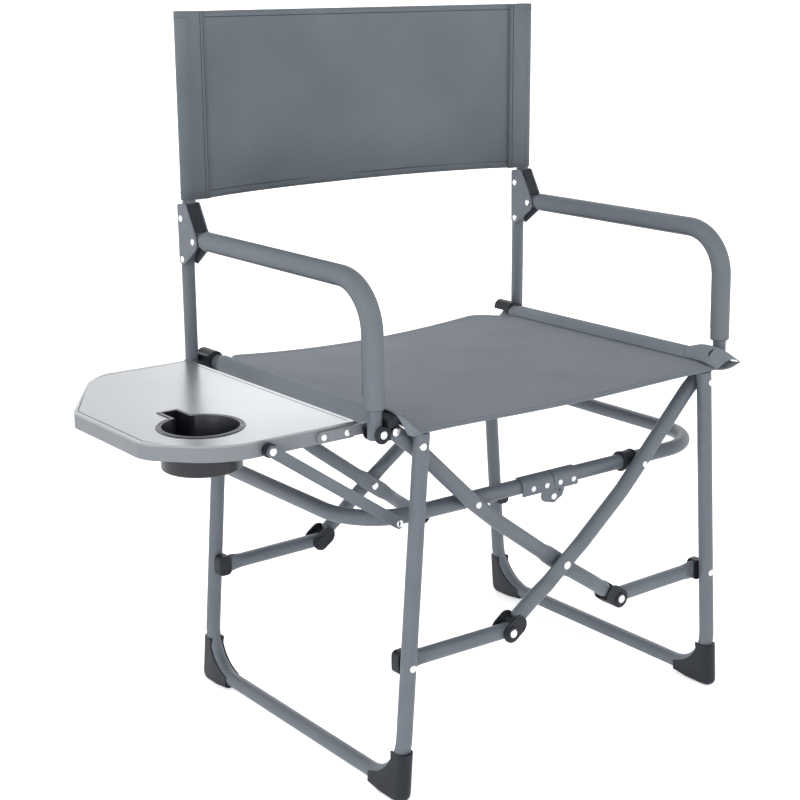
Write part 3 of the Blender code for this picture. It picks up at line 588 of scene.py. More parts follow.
def stitches(lines, length=3.0, gap=1.3, width=0.9, height=0.45):
    """Rows of short stitches along lines of (point, outward normal) pairs."""
    parts = []
    for line in lines:
        along = 0.0
        points = [Vector(p) for p, _ in line]
        normals = [Vector(n).normalized() for _, n in line]
        reach = [0.0]
        for a, b in zip(points, points[1:]):
            reach.append(reach[-1] + (b - a).length)
        index = 0
        while along + length < reach[-1]:
            while reach[index + 1] < along + length / 2:
                index += 1
            t = (along + length / 2 - reach[index]) / (reach[index + 1] - reach[index])
            middle = points[index].lerp(points[index + 1], t)
            normal = normals[index].lerp(normals[index + 1], t).normalized()
            forward = (points[index + 1] - points[index]).normalized()
            side = forward.cross(normal).normalized()
            bm = bmesh.new()
            rings = []
            for f, scale in ((-0.5, 0.45), (-0.3, 1.0), (0.3, 1.0), (0.5, 0.45)):
                base = middle + forward * (f * length)
                ring = []
                for a, b in ((-0.5, 0), (-0.3, 1), (0.3, 1), (0.5, 0)):
                    ring.append(bm.verts.new(base + side * (a * width * scale)
                                             + normal * (height * scale * b - 0.1)))
                rings.append(ring)
            skin_rings(bm, rings)
            parts.append(bm)
            along += length + gap
    return merged(parts)


# ---------------- legs and boots

def spot(pivot, y, sx, sy):
    """The place at an (x, z) pivot and a distance y from the middle, on the side and end given."""
    return Vector((sx * pivot[0], sy * y, pivot[1]))


def leg_x(z):
    return LEG_X_FLOOR - LEG_SPLAY * z


def make_legs():
    for name, sx in SIDES.items():
        body = "leg_" + name
        corners = [(sx * leg_x(z), y, z) for y, z in ((-LEG_Y, LEG_TOP_Z), (-LEG_Y, RAIL_Z),
                                                      (LEG_Y, RAIL_Z), (LEG_Y, LEG_TOP_Z))]
        path = round_path(corners, (LEG_BEND, LEG_BEND))
        add("leg_tube_" + name, tube(path, TUBE_R), body, PAINT, nodes=["leg_frame_" + name])
        heads = []
        for end, sy in ENDS.items():
            make_boot(name, end, sx, sy, path)
            for pivot in (LEG_PIVOT, LINK_LEG):
                heads.append(rivet(spot(pivot, LEG_Y + TUBE_R - 0.6, sx, sy), (0, sy, 0), LEG_RIVET))
        add("leg_rivets_" + name, merged(heads), body, STEEL)


def boot_layers(sx, sy, hollow):
    """The boot, or the hollow of its inner curve, as layers across its width."""
    top = 60
    heel = 163
    centre_y = LEG_Y - LEG_BEND
    centre_z = RAIL_Z + LEG_BEND
    inner = [(y, z) for y, z in arc(centre_y, centre_z, LEG_BEND - 4, 0, -90, 30)
             if z < top - 8 and heel + 3 < y < LEG_Y - 6]
    bm = bmesh.new()
    rings = []
    for step in range(-9, 10):
        lean = 78 * step / 9
        angle = math.radians(lean)
        back = LEG_Y + 11.6 * math.cos(angle)
        low = max(0, abs(lean) - 26) * 0.06
        outline = [(back, top), (LEG_Y - 11.5, top)] + inner
        outline += [(heel, RAIL_Z + 4), (heel, 3 + low), (LEG_Y - 30, low), (LEG_Y - 4, low)]
        outline += [(y, z + low) for y, z in arc(back - 9, 9, 9, -75, 0, 6)]
        across = 11 * math.sin(angle)
        if hollow:
            outline = arc(centre_y, centre_z, LEG_BEND - 24, 0, -90, 12)
            outline += arc(centre_y, centre_z, LEG_BEND, -84, -6, 14)
            across *= 0.76
        rings.append([bm.verts.new((sx * leg_x(z) + across, sy * y, z)) for y, z in outline])
    skin_rings(bm, rings)
    return bm


def make_boot(name, end, sx, sy, path):
    """A slim moulded corner, rounded outside, its inner curve hollowed between two thin walls."""
    tag = end + "_" + name
    cuts = [tube(path, TUBE_R + GAP, roll=(0, 0)), boot_layers(sx, sy, True)]
    bm = shaped(boot_layers(sx, sy, False), cuts=cuts)
    add("boot_shell_" + tag, bm, "leg_" + name, PLASTIC, 35, bevel=0.7, nodes=["boot_" + tag])


# ---------------- scissor bars and links

def bar_path(name, sx, sy):
    mid_y = BAR_MID_Y[name]
    hoop_y = BAR_HOOP_Y[name]
    top = spot(ARM_PIVOT, 0, 1, 1)
    bend = spot(BAR_BEND, 0, 1, 1)
    foot = spot(LINK_PIVOT, 0, -1, 1)
    centre = Vector((0, 0, CENTRE_Z))
    head = top + (top - bend).normalized() * 4
    stop = foot + (centre - foot).normalized() * BAR_STOP
    places = [(head, BAR_TOP_Y), (spot(LEG_PIVOT, 0, 1, 1) - Vector((14, 0, 13)), BAR_TOP_Y),
              (spot(HOOP_PIVOT, 0, 1, 1), hoop_y), (bend, (hoop_y + mid_y) / 2),
              (centre.lerp(bend, 0.3), mid_y), (centre.lerp(foot, 0.3), mid_y),
              (centre.lerp(foot, 0.54), LINK_Y), (stop, LINK_Y)]
    corners = [(sx * place.x, sy * y, place.z) for place, y in places]
    return round_path(corners, (120, 120, 160, 40, 30, 20))


def make_bars():
    for name, sx in SIDES.items():
        body = "bars_" + name
        heads = []
        for end, sy in ENDS.items():
            tag = end + "_" + name
            crossing = (0, sy * BAR_MID_Y[name], CENTRE_Z)
            path = dense(bar_path(name, sx, sy), 5)
            bar = tube(path, TUBE_R, 32, pressed(crossing, *CROSSING_PRESS, TUBE_R), (3.5, 3.8))
            add("bar_tube_" + tag, bar, body, PAINT, nodes=["bar_" + tag])
            make_connector(name, end, sx, sy)
            face = BAR_HOOP_Y[name] + TUBE_R - SUNK
            heads.append(rivet(spot(HOOP_PIVOT, face, sx, sy), (0, sy, 0), HOOP_RIVET))
            heads.append(rivet(spot(LINK_PIVOT, LINK_Y + 14.4, -sx, sy), (0, sy, 0), PIVOT_RIVET))
        add("bar_rivets_" + name, merged(heads), body, STEEL)
    heads = []
    for sy in ENDS.values():
        heads.append(rivet((0, sy * 212.6, CENTRE_Z), (0, sy, 0), PIVOT_RIVET))
        heads.append(rivet((0, sy * 186.6, CENTRE_Z), (0, -sy, 0), PIVOT_RIVET))
        heads.append(disc((0, sy * 187, CENTRE_Z), (0, sy, 0), 3, 25.5, 16))
    add("centre_rivets", merged(heads), "pivots", STEEL, nodes=["centre_rivet_front", "centre_rivet_rear"])


def make_connector(name, end, sx, sy):
    """A black clevis on the low end of a bar: two cheeks that hold the end of a link, and a spine below."""
    tag = end + "_" + name
    hub = spot(LINK_PIVOT, LINK_Y, -sx, sy)
    toward = (Vector((0, hub.y, CENTRE_Z)) - hub).normalized()
    below = Vector((toward.z, 0, -toward.x)) * sx
    far = hub + toward * 12.4
    cheek = capsule((hub.x, hub.z), (far.x, far.z), ELBOW_R, ELBOW_R, 22)
    spine = []
    for along, aside in ((-3.5, 10.4), (15.5, 10.4), (15.5, 11.8), (-3.5, 11.8)):
        point = hub + toward * along + below * aside
        spine.append((point.x, point.z))
    joins = [plate(cheek, "xz", hub.y + ELBOW_IN, hub.y + ELBOW_OUT),
             plate(spine, "xz", hub.y - ELBOW_OUT, hub.y + ELBOW_OUT)]
    for side in (-1, 1):
        joins.append(lathe(hub + Vector((0, side * 12.5, 0)), (0, side, 0),
                           [(0, 0), (0, 8.6), (1.1, 8.4), (1.8, 7.6), (1.8, 0)], 32))
    bm = shaped(plate(cheek, "xz", hub.y - ELBOW_OUT, hub.y - ELBOW_IN), joins)
    add("elbow_" + tag, bm, "bars_" + name, PLASTIC, 30, bevel=0.7, nodes=["connector_" + tag])


def make_links():
    for name, sx in SIDES.items():
        body = "link_" + name
        for end, sy in ENDS.items():
            tag = end + "_" + name
            start = spot(LINK_PIVOT, LINK_Y, sx, sy)
            stop = spot(LINK_LEG, LINK_LEG_Y, sx, sy)
            along = (stop - start).normalized()
            path = dense([start - along * 7, stop], 5)
            bar = tube(path, TUBE_R, 32, pressed(stop, *LINK_PRESS, TUBE_R), (3.5, 1.0))
            add("link_tube_" + tag, bar, body, PAINT, nodes=["link_" + tag])
            near = stop.x - sx * 12
            far = stop.x + sx * 7
            low = stop.z - CAP_HALF
            high = stop.z + CAP_HALF
            outline = soften([(near, low), (far, low), (far, high), (near, high)], (6, 6, 6, 6))
            block = plate(outline, "xz", sy * (LEG_Y - TUBE_R - GAP), sy * (LINK_LEG_Y - 7.4))
            hollow = box((stop.x + sx * 5, stop.y - 5.3, stop.z - 12.2),
                         (stop.x - sx * 30, stop.y + 5.3, stop.z + 12.2))
            add("link_end_" + tag, shaped(block, cuts=[hollow]), body, PLASTIC, 30, bevel=0.8,
                nodes=["link_cap_" + tag])


# ---------------- hoop

def make_hoop():
    for name, sx in SIDES.items():
        body = "hoop_" + name
        corners = [(sx * 0.6, -HOOP_Y, HOOP_Z), (sx * HOOP_X, -HOOP_Y, HOOP_Z),
                   (sx * HOOP_X, HOOP_Y, HOOP_Z), (sx * 0.6, HOOP_Y, HOOP_Z)]
        hoop = tube(round_path(corners, (HOOP_BEND, HOOP_BEND)), TUBE_R, roll=(0.6, 0.6))
        add("hoop_tube_" + name, hoop, body, PAINT, nodes=["hoop_" + name])
        heads = []
        for end, sy in ENDS.items():
            make_hinge(name, end, sx, sy)
            for x in (11, 33):
                heads.append(rivet((sx * x, sy * (HOOP_Y + TUBE_R + 1.8), 328), (0, sy, 0), HINGE_RIVET))
        add("hinge_rivets_" + name, merged(heads), body, STEEL)
    for end, sy in ENDS.items():
        face = HOOP_Y + TUBE_R
        pin = merged([rivet((0, sy * (face + 2.3), HOOP_PIN_Z), (0, sy, 0), PIN_RIVET),
                      disc((0, sy * (face - 4.2), HOOP_PIN_Z), (0, sy, 0), 3, 6.8, 16)])
        add("hinge_pin_" + end, pin, "hoop_pin", STEEL, nodes=["hoop_pin_" + end])
        rings = []
        for low, high, radius in ((121, 144, 12.2), (121, 125, 13.0), (140, 144, 13.0)):
            rings.append(tube([(low, sy * HOOP_Y, HOOP_Z), (high, sy * HOOP_Y, HOOP_Z)], radius, 36,
                              roll=(1.2, 1.2)))
        bore = tube([(90, sy * HOOP_Y, HOOP_Z), (160, sy * HOOP_Y, HOOP_Z)], TUBE_R + GAP, roll=(0, 0))
        add("saddle_sleeve_" + end, shaped(rings[0], rings[1:], [bore]), "hoop_right", PLASTIC, 30,
            nodes=["saddle_" + end])


def make_hinge(name, end, sx, sy):
    """A pressed bracket that follows the tube over its top, with a lug down to the hinge pin."""
    tag = end + "_" + name
    face = HOOP_Y + TUBE_R + GAP
    outside = face + HINGE_SKIN
    inside = TUBE_R + 0.4
    hook = arc(HOOP_Y, HOOP_Z, inside, 0, 110, 24)
    hook += arc(HOOP_Y, HOOP_Z, inside + HINGE_SKIN, 110, 0, 24) + [(outside, HINGE_LOW), (face, HINGE_LOW)]
    base = plate(mirrored(hook, sy), "yz", sx * 0.8, sx * HINGE_LENGTH[name])
    if name == "left":
        layer = (face, outside)
        lug = capsule((0, HOOP_PIN_Z), (-12, 315.5), 7.9, 8.1)
    else:
        layer = (face - 2.0, face - 0.4)
        lug = capsule((0, HOOP_PIN_Z), (11, 314.5), 7.9, 6.4)
    joins = [plate(lug, "xz", sy * layer[0], sy * layer[1])]
    if name == "right":
        joins.append(box((11, sy * (face - 2.0), 316), (17, sy * outside, 322.5)))
    bore = disc((0, sy * 160, HOOP_PIN_Z), (0, sy, 0), 3.35, 40, 20)
    add("bracket_plate_" + tag, shaped(base, joins, [bore]), "hoop_" + name, PAINT, 30,
        bevel=0.35, nodes=["hinge_" + tag])


# ---------------- arms, clevises and brackets

def make_arms():
    for name, sx in SIDES.items():
        body = "arm_" + name
        x = sx * ARM_X
        corners = [(x, -FRONT_POST_Y, POST_BOTTOM), (x, -FRONT_POST_Y + 3.5, ARM_Z),
                   (x, REAR_POST_Y, ARM_Z + 1), (x, REAR_POST_Y, POST_BOTTOM)]
        path = round_path(corners, (58, 38))
        arm = tube(path, ARM_R, roll=(1.8, 1.8), flat_axis=(1, 0, 0))
        add("arm_tube_" + name, arm, body, PAINT, nodes=["arm_frame_" + name])
        rail = tube([(sx * SEAT_RAIL_X, -183.6, SEAT_RAIL_Z), (sx * SEAT_RAIL_X, 183.6, SEAT_RAIL_Z)], TUBE_R)
        add("rail_tube_" + name, rail, body, PAINT, nodes=["seat_rail_" + name])
        make_grip(name, corners, path, body)
        make_bracket(name, sx, body)
        make_clevises(name, sx, body)


def make_grip(name, corners, path, body):
    """A foam grip with a cover, its ends drawn in a little and a near-black line of painted shade along its
    underside.
    """
    start = Vector(corners[1]).lerp(Vector(corners[0]), (ARM_Z - 471) / (ARM_Z - POST_BOTTOM))
    stop = Vector((corners[1][0], 157, ARM_Z + 0.9))
    line = dense(round_path([start, corners[1], stop], (58,)), 8)
    bore = tube(path, ARM_R + GAP, roll=(0, 0), flat_axis=(1, 0, 0))
    cover = tube(line, SLEEVE_R, 36, roll=(2.6, 2.6), flat_axis=(1, 0, 0))
    add("grip_" + name, shaped(cover, cuts=[bore]), body, GRIP, 50, nodes=["arm_sleeve_" + name])
    hub = Vector((corners[1][0], -FRONT_POST_Y + 58, ARM_Z - 58))
    seam = []
    for k, point in enumerate(line):
        ahead = line[min(k + 1, len(line) - 1)] - line[max(k - 1, 0)]
        normal = Vector((1, 0, 0)).cross(ahead.normalized())
        if normal.dot(hub - point) < 0:
            normal = -normal
        normal = (normal * 0.62 + Vector((-0.78, 0, 0))).normalized()
        seam.append(point + normal * (SLEEVE_R - 0.15))
    # a thin near-black tube along the underside: painted shade
    add("grip_underside_shade_" + name, tube(seam[2:-2], 0.6, 8, roll=(0, 0), flat_axis=(1, 0, 0)), body, SHADE_LINE)


def make_clevises(name, sx, body):
    inner_high = BAR_TOP_Y - TUBE_R - GAP
    inner_low = inner_high - CLEVIS_SKIN
    post = (sx * (ARM_X - 1.5), ARM_PIVOT[1])
    pin = (sx * ARM_PIVOT[0], ARM_PIVOT[1])
    barrel = arc(254, 453.5, 10.8, -10, 190, 28) + arc(ARM_PIVOT[0], ARM_PIVOT[1], TUBE_R + 0.6, 140, 40, 14)
    heads = []
    for end, sy in ENDS.items():
        tag = end + "_" + name
        outer_low = BAR_TOP_Y + TUBE_R + GAP
        if end == "rear":
            outer_low = REAR_POST_Y + ARM_R + GAP
        outer_high = outer_low + CLEVIS_SKIN
        base = plate(arc(post[0], post[1], CLEVIS_R, 0, 350, 35), "xz", sy * outer_low, sy * outer_high)
        near = sy * inner_low
        far = sy * outer_high
        joins = [plate(capsule(post, pin, CLEVIS_R, 9.4), "xz", sy * inner_low, sy * inner_high),
                 plate(mirrored(barrel, sx), "xz", near, far),
                 box((sx * 268.6, near, 452.3), (sx * 262.5, far, 460)),
                 box((sx * 268.6, near, 437), (sx * 265.1, far, 456))]
        if name == "left":
            reach = 180.3 if end == "front" else 190.2
            joins.append(plate(arc(-ARM_X, 447, 6.4, 0, 350, 25), "xz", sy * (inner_high - 1), sy * reach))
        add("clevis_body_" + tag, shaped(base, joins), body, PLASTIC, 30, bevel=0.5, nodes=["clevis_" + tag])
        heads.append(rivet((sx * 274.4, far, ARM_PIVOT[1] + 0.4), (0, sy, 0), 5.0))
        heads.append(rivet(spot(ARM_PIVOT, BAR_TOP_Y + TUBE_R - SUNK, sx, sy), (0, sy, 0), PIVOT_RIVET, True))
    add("clevis_rivets_" + name, merged(heads), body, STEEL)


def make_bracket(name, sx, body):
    outline = soften([(208, 655), (188, 658), (161.5, 611), (165, 602), (198, 577), (207, 582)],
                     (3, 5, 6, 6, 5, 3), 6)
    arm_heads = []
    back_heads = []
    for label, way in (("outer", 1), ("inner", -1)):
        near = sx * ARM_X + sx * way * (ARM_R + GAP)
        far = near + sx * way * CHEEK_SKIN
        tag = label + "_" + name
        add("cheek_" + tag, plate(outline, "yz", near, far), body, PAINT, 30, bevel=0.5,
            nodes=["bracket_" + tag])
        for y, z in ((172, 611), (199, 586)):
            arm_heads.append(rivet((far - sx * way * 0.1, y, z), (sx * way, 0, 0), PIN_RIVET))
        back_heads.append(rivet((far - sx * way * 0.1, 200, 637.5), (sx * way, 0, 0), PIN_RIVET))
    block = [(185.6, 657), (186.2, 622), (169.5, 622), (184, 653)]
    insert = plate(block, "yz", sx * ARM_X - ARM_R + 0.1, sx * ARM_X + ARM_R - 0.1)
    add("insert_" + name, insert, body, PLASTIC, 30, bevel=0.6, nodes=["bracket_block_" + name])
    add("bracket_rivets_" + name, merged(arm_heads), body, STEEL)
    add("back_rivets_" + name, merged(back_heads), "back_" + name, STEEL)


# ---------------- back

BACK_HALF = 256.5
BACK_HEM = BACK_TOP + 4
BACK_LOW = 661
TOP_SEAM = 7.5
LOW_SEAM = 9


def back_low(x):
    """Height of the bottom hem, which rises a little towards the middle."""
    return BACK_LOW + 5 * (1 - (x / BACK_HALF) ** 2)


def back_depth(x, t):
    """Where the panel stands: at the front of the sleeves at its edges, flat between them."""
    return BACK_Y - 6.5 * (abs(x) / BACK_HALF) ** 8 - 1.5 * math.sin(math.pi * t) * (1 - (x / BACK_HALF) ** 2)


def make_back():
    for name, sx in SIDES.items():
        x = sx * ARM_X
        post = tube([(x, BACK_Y, 632), (x, BACK_Y, BACK_TOP)], ARM_R, roll=(3, 1.5))
        add("post_tube_" + name, post, "back_" + name, PAINT, nodes=["back_post_" + name])

    def place(s, t):
        x = mix(-BACK_HALF, BACK_HALF, s)
        pull = (1 - t) * (1 - (x / BACK_HALF) ** 2)
        ripple = 0.7 * math.sin(x / 37 + 2.2 * t) * pull
        return x, back_depth(x, t) + ripple, mix(back_low(x), BACK_HEM, t)

    panel = add("back_panel", spread(48, 16, place), "back_left", BACK_CLOTH, 60, closed=False)
    seams = []
    for at_top in (True, False):
        line = []
        for i in range(61):
            x = mix(-BACK_HALF + 2, BACK_HALF - 2, i / 60)
            z = BACK_HEM - TOP_SEAM if at_top else back_low(x) + LOW_SEAM
            t = (z - back_low(x)) / (BACK_HEM - back_low(x))
            line.append(((x, back_depth(x, t) - 0.75, z), (0, -1, 0)))
        seams.append(line)
    hems = add("back_hem_stitches", stitches(seams), "back_left", THREAD)
    # thin near-black tubes along the hem seams: painted shade in the creases
    shade_lines = [tube([p for p, _ in line], 0.45, 8, roll=(0, 0)) for line in seams]
    crease_shades = add("back_hem_crease_shade", merged(shade_lines), "back_left", SHADE_LINE)
    for piece in (panel, hems, crease_shades):
        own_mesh(piece)
    thicken(panel, 1.4)
    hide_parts("back_fabric")
    for name, sx in SIDES.items():
        make_wrap(name, sx)


def make_wrap(name, sx):
    """The sleeve of the back cloth that goes round a post, sewn to the panel beside it."""
    wall = ARM_R + 1.1
    lap = 251.0 if name == "left" else 243.5
    rows = []
    for j in range(9):
        t = j / 8
        z = mix(back_low(BACK_HALF), BACK_HEM, t)
        row = [(sx * lap, BACK_Y - 7.7, z), (sx * (lap + 3), BACK_Y - 7.9, z), (sx * 263, BACK_Y - 8.8, z)]
        for k in range(19):
            angle = math.radians(mix(242, 478, k / 18))
            row.append((sx * (ARM_X + wall * math.cos(angle)), BACK_Y + wall * math.sin(angle), z))
        row += [(sx * 263, BACK_Y + 3.2, z), (sx * BACK_HALF, BACK_Y - 5.4, z)]
        rows.append(row)
    wrap = add("back_wrap_" + name, cloth_grid(rows), "back_" + name, BACK_CLOTH, 60, closed=False)
    thicken(wrap, 1.2)
    low = back_low(BACK_HALF) + 2
    lines = []
    crease_shades = []
    for x, front in ((lap + 1.7, BACK_Y - 8.4), (lap + 6.4, BACK_Y - 8.8)):
        lines.append([((sx * x, front, z), (0, -1, 0)) for z in (low, mix(low, BACK_HEM, 0.5), BACK_HEM - 2)])
        # near-black tubes along the sewn lines: painted shade in the creases
        ends = [(sx * x, front + 0.1, z) for z in (low - 2, BACK_HEM - 1)]
        crease_shades.append(tube(ends, 0.5, 8, roll=(0, 0)))
    shade_lines = add("back_wrap_crease_shade_" + name, merged(crease_shades), "back_" + name, SHADE_LINE)
    for z in (BACK_HEM - TOP_SEAM, back_low(BACK_HALF) + LOW_SEAM):
        around = []
        for k in range(13):
            angle = math.radians(mix(236, 400, k / 12))
            out = Vector((sx * math.cos(angle), math.sin(angle), 0))
            around.append((Vector((sx * ARM_X, BACK_Y, z)) + out * (wall + 0.6), out))
        lines.append(around)
    seam = add("back_wrap_stitches_" + name, stitches(lines), "back_" + name, THREAD)


# ---------------- seat

SEAT_SEAM = 240.5
SEAT_HALF = 223
LOOP_R = TUBE_R + 1.3


def seat_edge(x, sy):
    """How far the cloth reaches at x: its rear corners are cut back beside the posts."""
    if sy < 0:
        return -SEAT_HALF
    return SEAT_HALF - 54 * ease((abs(x) - 203) / 38)


def seat_z(x, y):
    across = 1 - (x / SEAT_SEAM) ** 2
    sag = 8.5 * across
    rear = 5.0 * ease((y - 110) / 110) * across
    front = 5.5 * ease((-y - 188) / 34) * (1 - across) ** 2
    return 448 - sag - rear - front


def make_seat():
    def place(s, t):
        x = mix(-SEAT_SEAM, SEAT_SEAM, s)
        y = mix(seat_edge(x, -1), seat_edge(x, 1), t)
        return x, y, seat_z(x, y)

    panel = add("seat_panel", spread(48, 32, place), "arm_left", SEAT_CLOTH, 60, closed=False)
    lines = []
    for sy in (-1, 1):
        line = []
        for i in range(61):
            x = mix(-SEAT_SEAM + 3, SEAT_SEAM - 3, i / 60)
            y = seat_edge(x, sy) - sy * 11
            line.append(((x, y, seat_z(x, y) + 0.75), (0, 0, 1)))
        lines.append(line)
    hems = add("seat_hem_stitches", stitches(lines), "arm_left", THREAD)
    for piece in (panel, hems):
        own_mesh(piece)
    thicken(panel, 1.6)
    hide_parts("seat_fabric")
    for name, sx in SIDES.items():
        make_loop(name, sx)


def make_loop(name, sx):
    """The cloth round a seat rail, from the seam over the top and back under."""
    body = "arm_" + name
    section = [(SEAT_SEAM - 1, 448.6)] + arc(SEAT_RAIL_X, SEAT_RAIL_Z, LOOP_R, 172, -172, 28)
    section.append((SEAT_SEAM - 1, 447.0))
    rows = []
    for j in range(21):
        y = mix(-170, 168, j / 20)
        rows.append([(sx * x, y, z) for x, z in section])
    loop = add("seat_loop_" + name, cloth_grid(rows), body, SEAT_CLOTH, 60, closed=False)
    thicken(loop, 1.3)
    line = [((sx * (SEAT_SEAM - 2.6), y, 449.2), (-sx * 0.3, 0, 1)) for y in (-205, -100, 0, 100, 166)]
    seam = add("seat_seam_" + name, stitches([line]), body, THREAD)
    make_flap(name, sx)


def make_flap(name, sx):
    """The front end of the loop, which widens over the clevis. Its left one is folded back half way."""
    body = "arm_" + name
    if name == "right":
        over = [(-168, 240, 448.6, 241.8, 455, 245, 459.6, 250, 462, 256, 461.2, 261, 457, 263.3, 451.5),
                (-181, 240, 448.6, 241.6, 456, 244.5, 461.5, 250, 465.6, 256.5, 466.4, 263, 464.2,
                 267, 459.5),
                (-187, 240, 448.5, 241.5, 456, 244.5, 462, 250, 466, 257, 466.8, 264, 464.8, 268.8, 461.2),
                (-204, 240, 448, 241.8, 455.5, 245, 461.5, 250.5, 465.6, 257.5, 466.6, 264.5, 464.8,
                 268.9, 461.2),
                (-210, 240.5, 446.6, 243, 453, 247, 459, 253, 463.2, 261, 464.6, 268.5, 462, 274.5, 457.5),
                (-217, 241.5, 444.4, 246, 449.5, 252, 454.6, 260, 458.2, 268.5, 458.6, 276, 455.4,
                 281.5, 450.8),
                (-224, 243, 442.4, 249.5, 446.2, 257, 449.8, 265.5, 452, 273, 451.4, 280, 449, 286, 446)]
        under = [(-209, 241, 444.5, 250, 443, 260, 442.6, 269, 443.6, 277, 446.5),
                 (-217, 242, 443, 251, 441.6, 262, 441.2, 272, 442.6, 281, 445.6),
                 (-224, 243, 441.8, 252.5, 440.4, 264, 440, 275.5, 442, 286, 445.6)]
        over, under = [[[(x, row[0], z) for x, z in zip(row[1::2], row[2::2])] for row in rows]
                       for rows in (over, under)]
        flat = ((0.045, 0.062), (0.042, 0.016))
    else:
        loop = [(240, 448.6), (241.8, 455), (244.8, 459.2), (248.5, 461.4), (252, 462), (256.5, 461)]
        crown = [(240, 448.6), (241.4, 456), (244.0, 461.5), (248, 465), (252, 466.4), (256.5, 466.2)]
        front = [(239, -223.5, 446.4), (242.2, -219.5, 451), (245.8, -215.5, 456.4), (249.6, -212, 461),
                 (253.2, -209.5, 464), (257, -207.5, 464.6)]
        low = [(233, -223.5, 441.5), (235.5, -222.5, 440.4), (238, -221, 439.8), (240.8, -219, 439.6),
               (243.6, -217, 440), (246.5, -214.5, 441.4)]
        over = []
        for t in (0, 0.15, 0.3, 0.5, 0.7, 0.85, 1):
            row = []
            for a, b, c in zip(loop, crown, front):
                x = mix(mix(a[0], b[0], ease(t / 0.3)), c[0], ease((t - 0.7) / 0.3))
                z = mix(mix(a[1], b[1], ease(t / 0.3)), c[2], ease((t - 0.7) / 0.3))
                row.append((x, mix(-168, c[1], t), z))
            over.append(row)
        under = []
        for t in (0, 0.3, 0.65, 1):
            swell = 1.6 * math.sin(math.pi * t)
            under.append([(mix(a[0], b[0], t), mix(a[1], b[1], t) - swell, mix(a[2], b[2], t))
                          for a, b in zip(front, low)])
        flat = ((0.03, 0.055), (0.024, 0.0135))
    for label, rows, size in (("over", over, flat[0]), ("under", under, flat[1])):
        grid = [[(sx * x, y, z) for x, y, z in row] for row in rows]
        piece = add("seat_flap_" + label + "_" + name, cloth_grid(grid), body, SEAT_CLOTH, 60, closed=False)
        thicken(piece, 1.2, levels=2)


# ---------------- side table

TABLE_IN = 291
TABLE_OUT = 520
TABLE_FRONT = 177
TABLE_REAR = 191
CUP_X = 436
CUP_Y = -90


def table_outline(inset):
    corners = [(-TABLE_IN - inset, TABLE_REAR - inset), (-TABLE_IN - inset, -TABLE_FRONT + inset),
               (-TABLE_OUT + 62, -TABLE_FRONT + inset), (-TABLE_OUT + inset, -TABLE_FRONT + 66),
               (-TABLE_OUT + inset, 50), (-TABLE_OUT + 76, 165), (-TABLE_OUT + 108, TABLE_REAR - inset)]
    return soften(corners, (3, 3, 90, 40, 12, 12, 30), 8)


def make_table():
    floor = TABLE_TOP - 18.5
    ear_x = -CUP_X + 1
    ear_y = CUP_Y + 73
    high = TABLE_TOP + 12
    low = floor - 20

    def cup_room(radius, half):
        return [disc((-CUP_X, CUP_Y, low), (0, 0, 1), radius, high - low, 96),
                box((ear_x - half, CUP_Y, low), (ear_x + half, ear_y + half - 9.5, high))]

    band = plate(table_outline(GAP), "xy", floor, TABLE_TOP - 2.4)
    hinge_plates = []
    for end, sy in ENDS.items():
        face = TABLE_FRONT if end == "front" else TABLE_REAR
        hinge_plates.append(plate(capsule((-ARM_X, 447), (-337, 446.5), 6, 6), "xz",
                                  sy * (face - 0.5), sy * (face + 2.7)))
    under = plate(table_outline(2.0), "xy", floor - 5, TABLE_TOP - 4)
    rim = shaped(band, hinge_plates, [under] + cup_room(47.3, 11.8))
    add("table_band", rim, "table", BAND, 30, bevel=0.6, nodes=["table_rim"])
    outer = table_outline(5.2)
    inner = table_outline(6.6)
    first = 9
    groove = outer[27:] + outer[:first + 5] + list(reversed(inner[:first + 5])) + list(reversed(inner[27:]))
    slit = plate(groove, "xy", TABLE_TOP - 1.6, TABLE_TOP + 2)
    top = plate(table_outline(0), "xy", TABLE_TOP - 2.4, TABLE_TOP)
    lid = shaped(top, cuts=[slit] + cup_room(49.3, 13.8))
    add("table_panel", lid, "table", TABLE, 30, bevel=0.9, nodes=["table_top"])
    # a near-black strip in the bottom of the groove: painted shade
    add("table_groove_shade", plate(groove, "xy", TABLE_TOP - 1.5, TABLE_TOP - 0.25), "table", SHADE_LINE, 30)
    make_cup(ear_x, ear_y)
    heads = []
    for end, sy in ENDS.items():
        face = (TABLE_FRONT if end == "front" else TABLE_REAR) + 2.6
        for x in (303, 334):
            heads.append(rivet((-x, sy * face, 446), (0, sy, 0), TABLE_RIVET))
        make_support(end, sy)
    add("table_rivets", merged(heads), "table", STEEL)


def make_cup(ear_x, ear_y):
    """A moulded cup with a stepped flange in the table top and a slot at its rear."""
    bottom = TABLE_TOP - 46
    flange_low = TABLE_TOP - 2.2
    flange_high = TABLE_TOP + 0.9
    deep = flange_high - bottom
    lip = flange_low - bottom
    shell = lathe((-CUP_X, CUP_Y, bottom), (0, 0, 1),
                  [(0, 0), (0, 43.6), (1.4, 45), (lip, 45), (lip, 49), (deep - 0.3, 49), (deep, 48.7),
                   (deep, 46.5), (deep - 0.6, 46.5), (deep - 0.6, 45.5), (deep, 45.5), (deep, 43.2),
                   (deep - 0.4, 43), (5, 43), (2.8, 41.6), (2, 39.5), (2, 0)], 96)
    ear = box((ear_x - 13.5, CUP_Y + 20, flange_low), (ear_x + 13.5, ear_y + 4, flange_high))
    trough = box((ear_x - 11.5, CUP_Y + 20, bottom + 8), (ear_x + 11.5, ear_y + 2, flange_high - 1))
    inside = disc((-CUP_X, CUP_Y, bottom + 6), (0, 0, 1), 42.9, 60, 96)
    slot = box((ear_x - 9.5, CUP_Y, bottom + 10), (ear_x + 9.5, ear_y, TABLE_TOP + 9))
    bm = shaped(shell, [shaped(ear, [trough], [inside])], [slot])
    add("cup", bm, "table", CUP, 30, bevel=0.35, nodes=["cup_holder"])


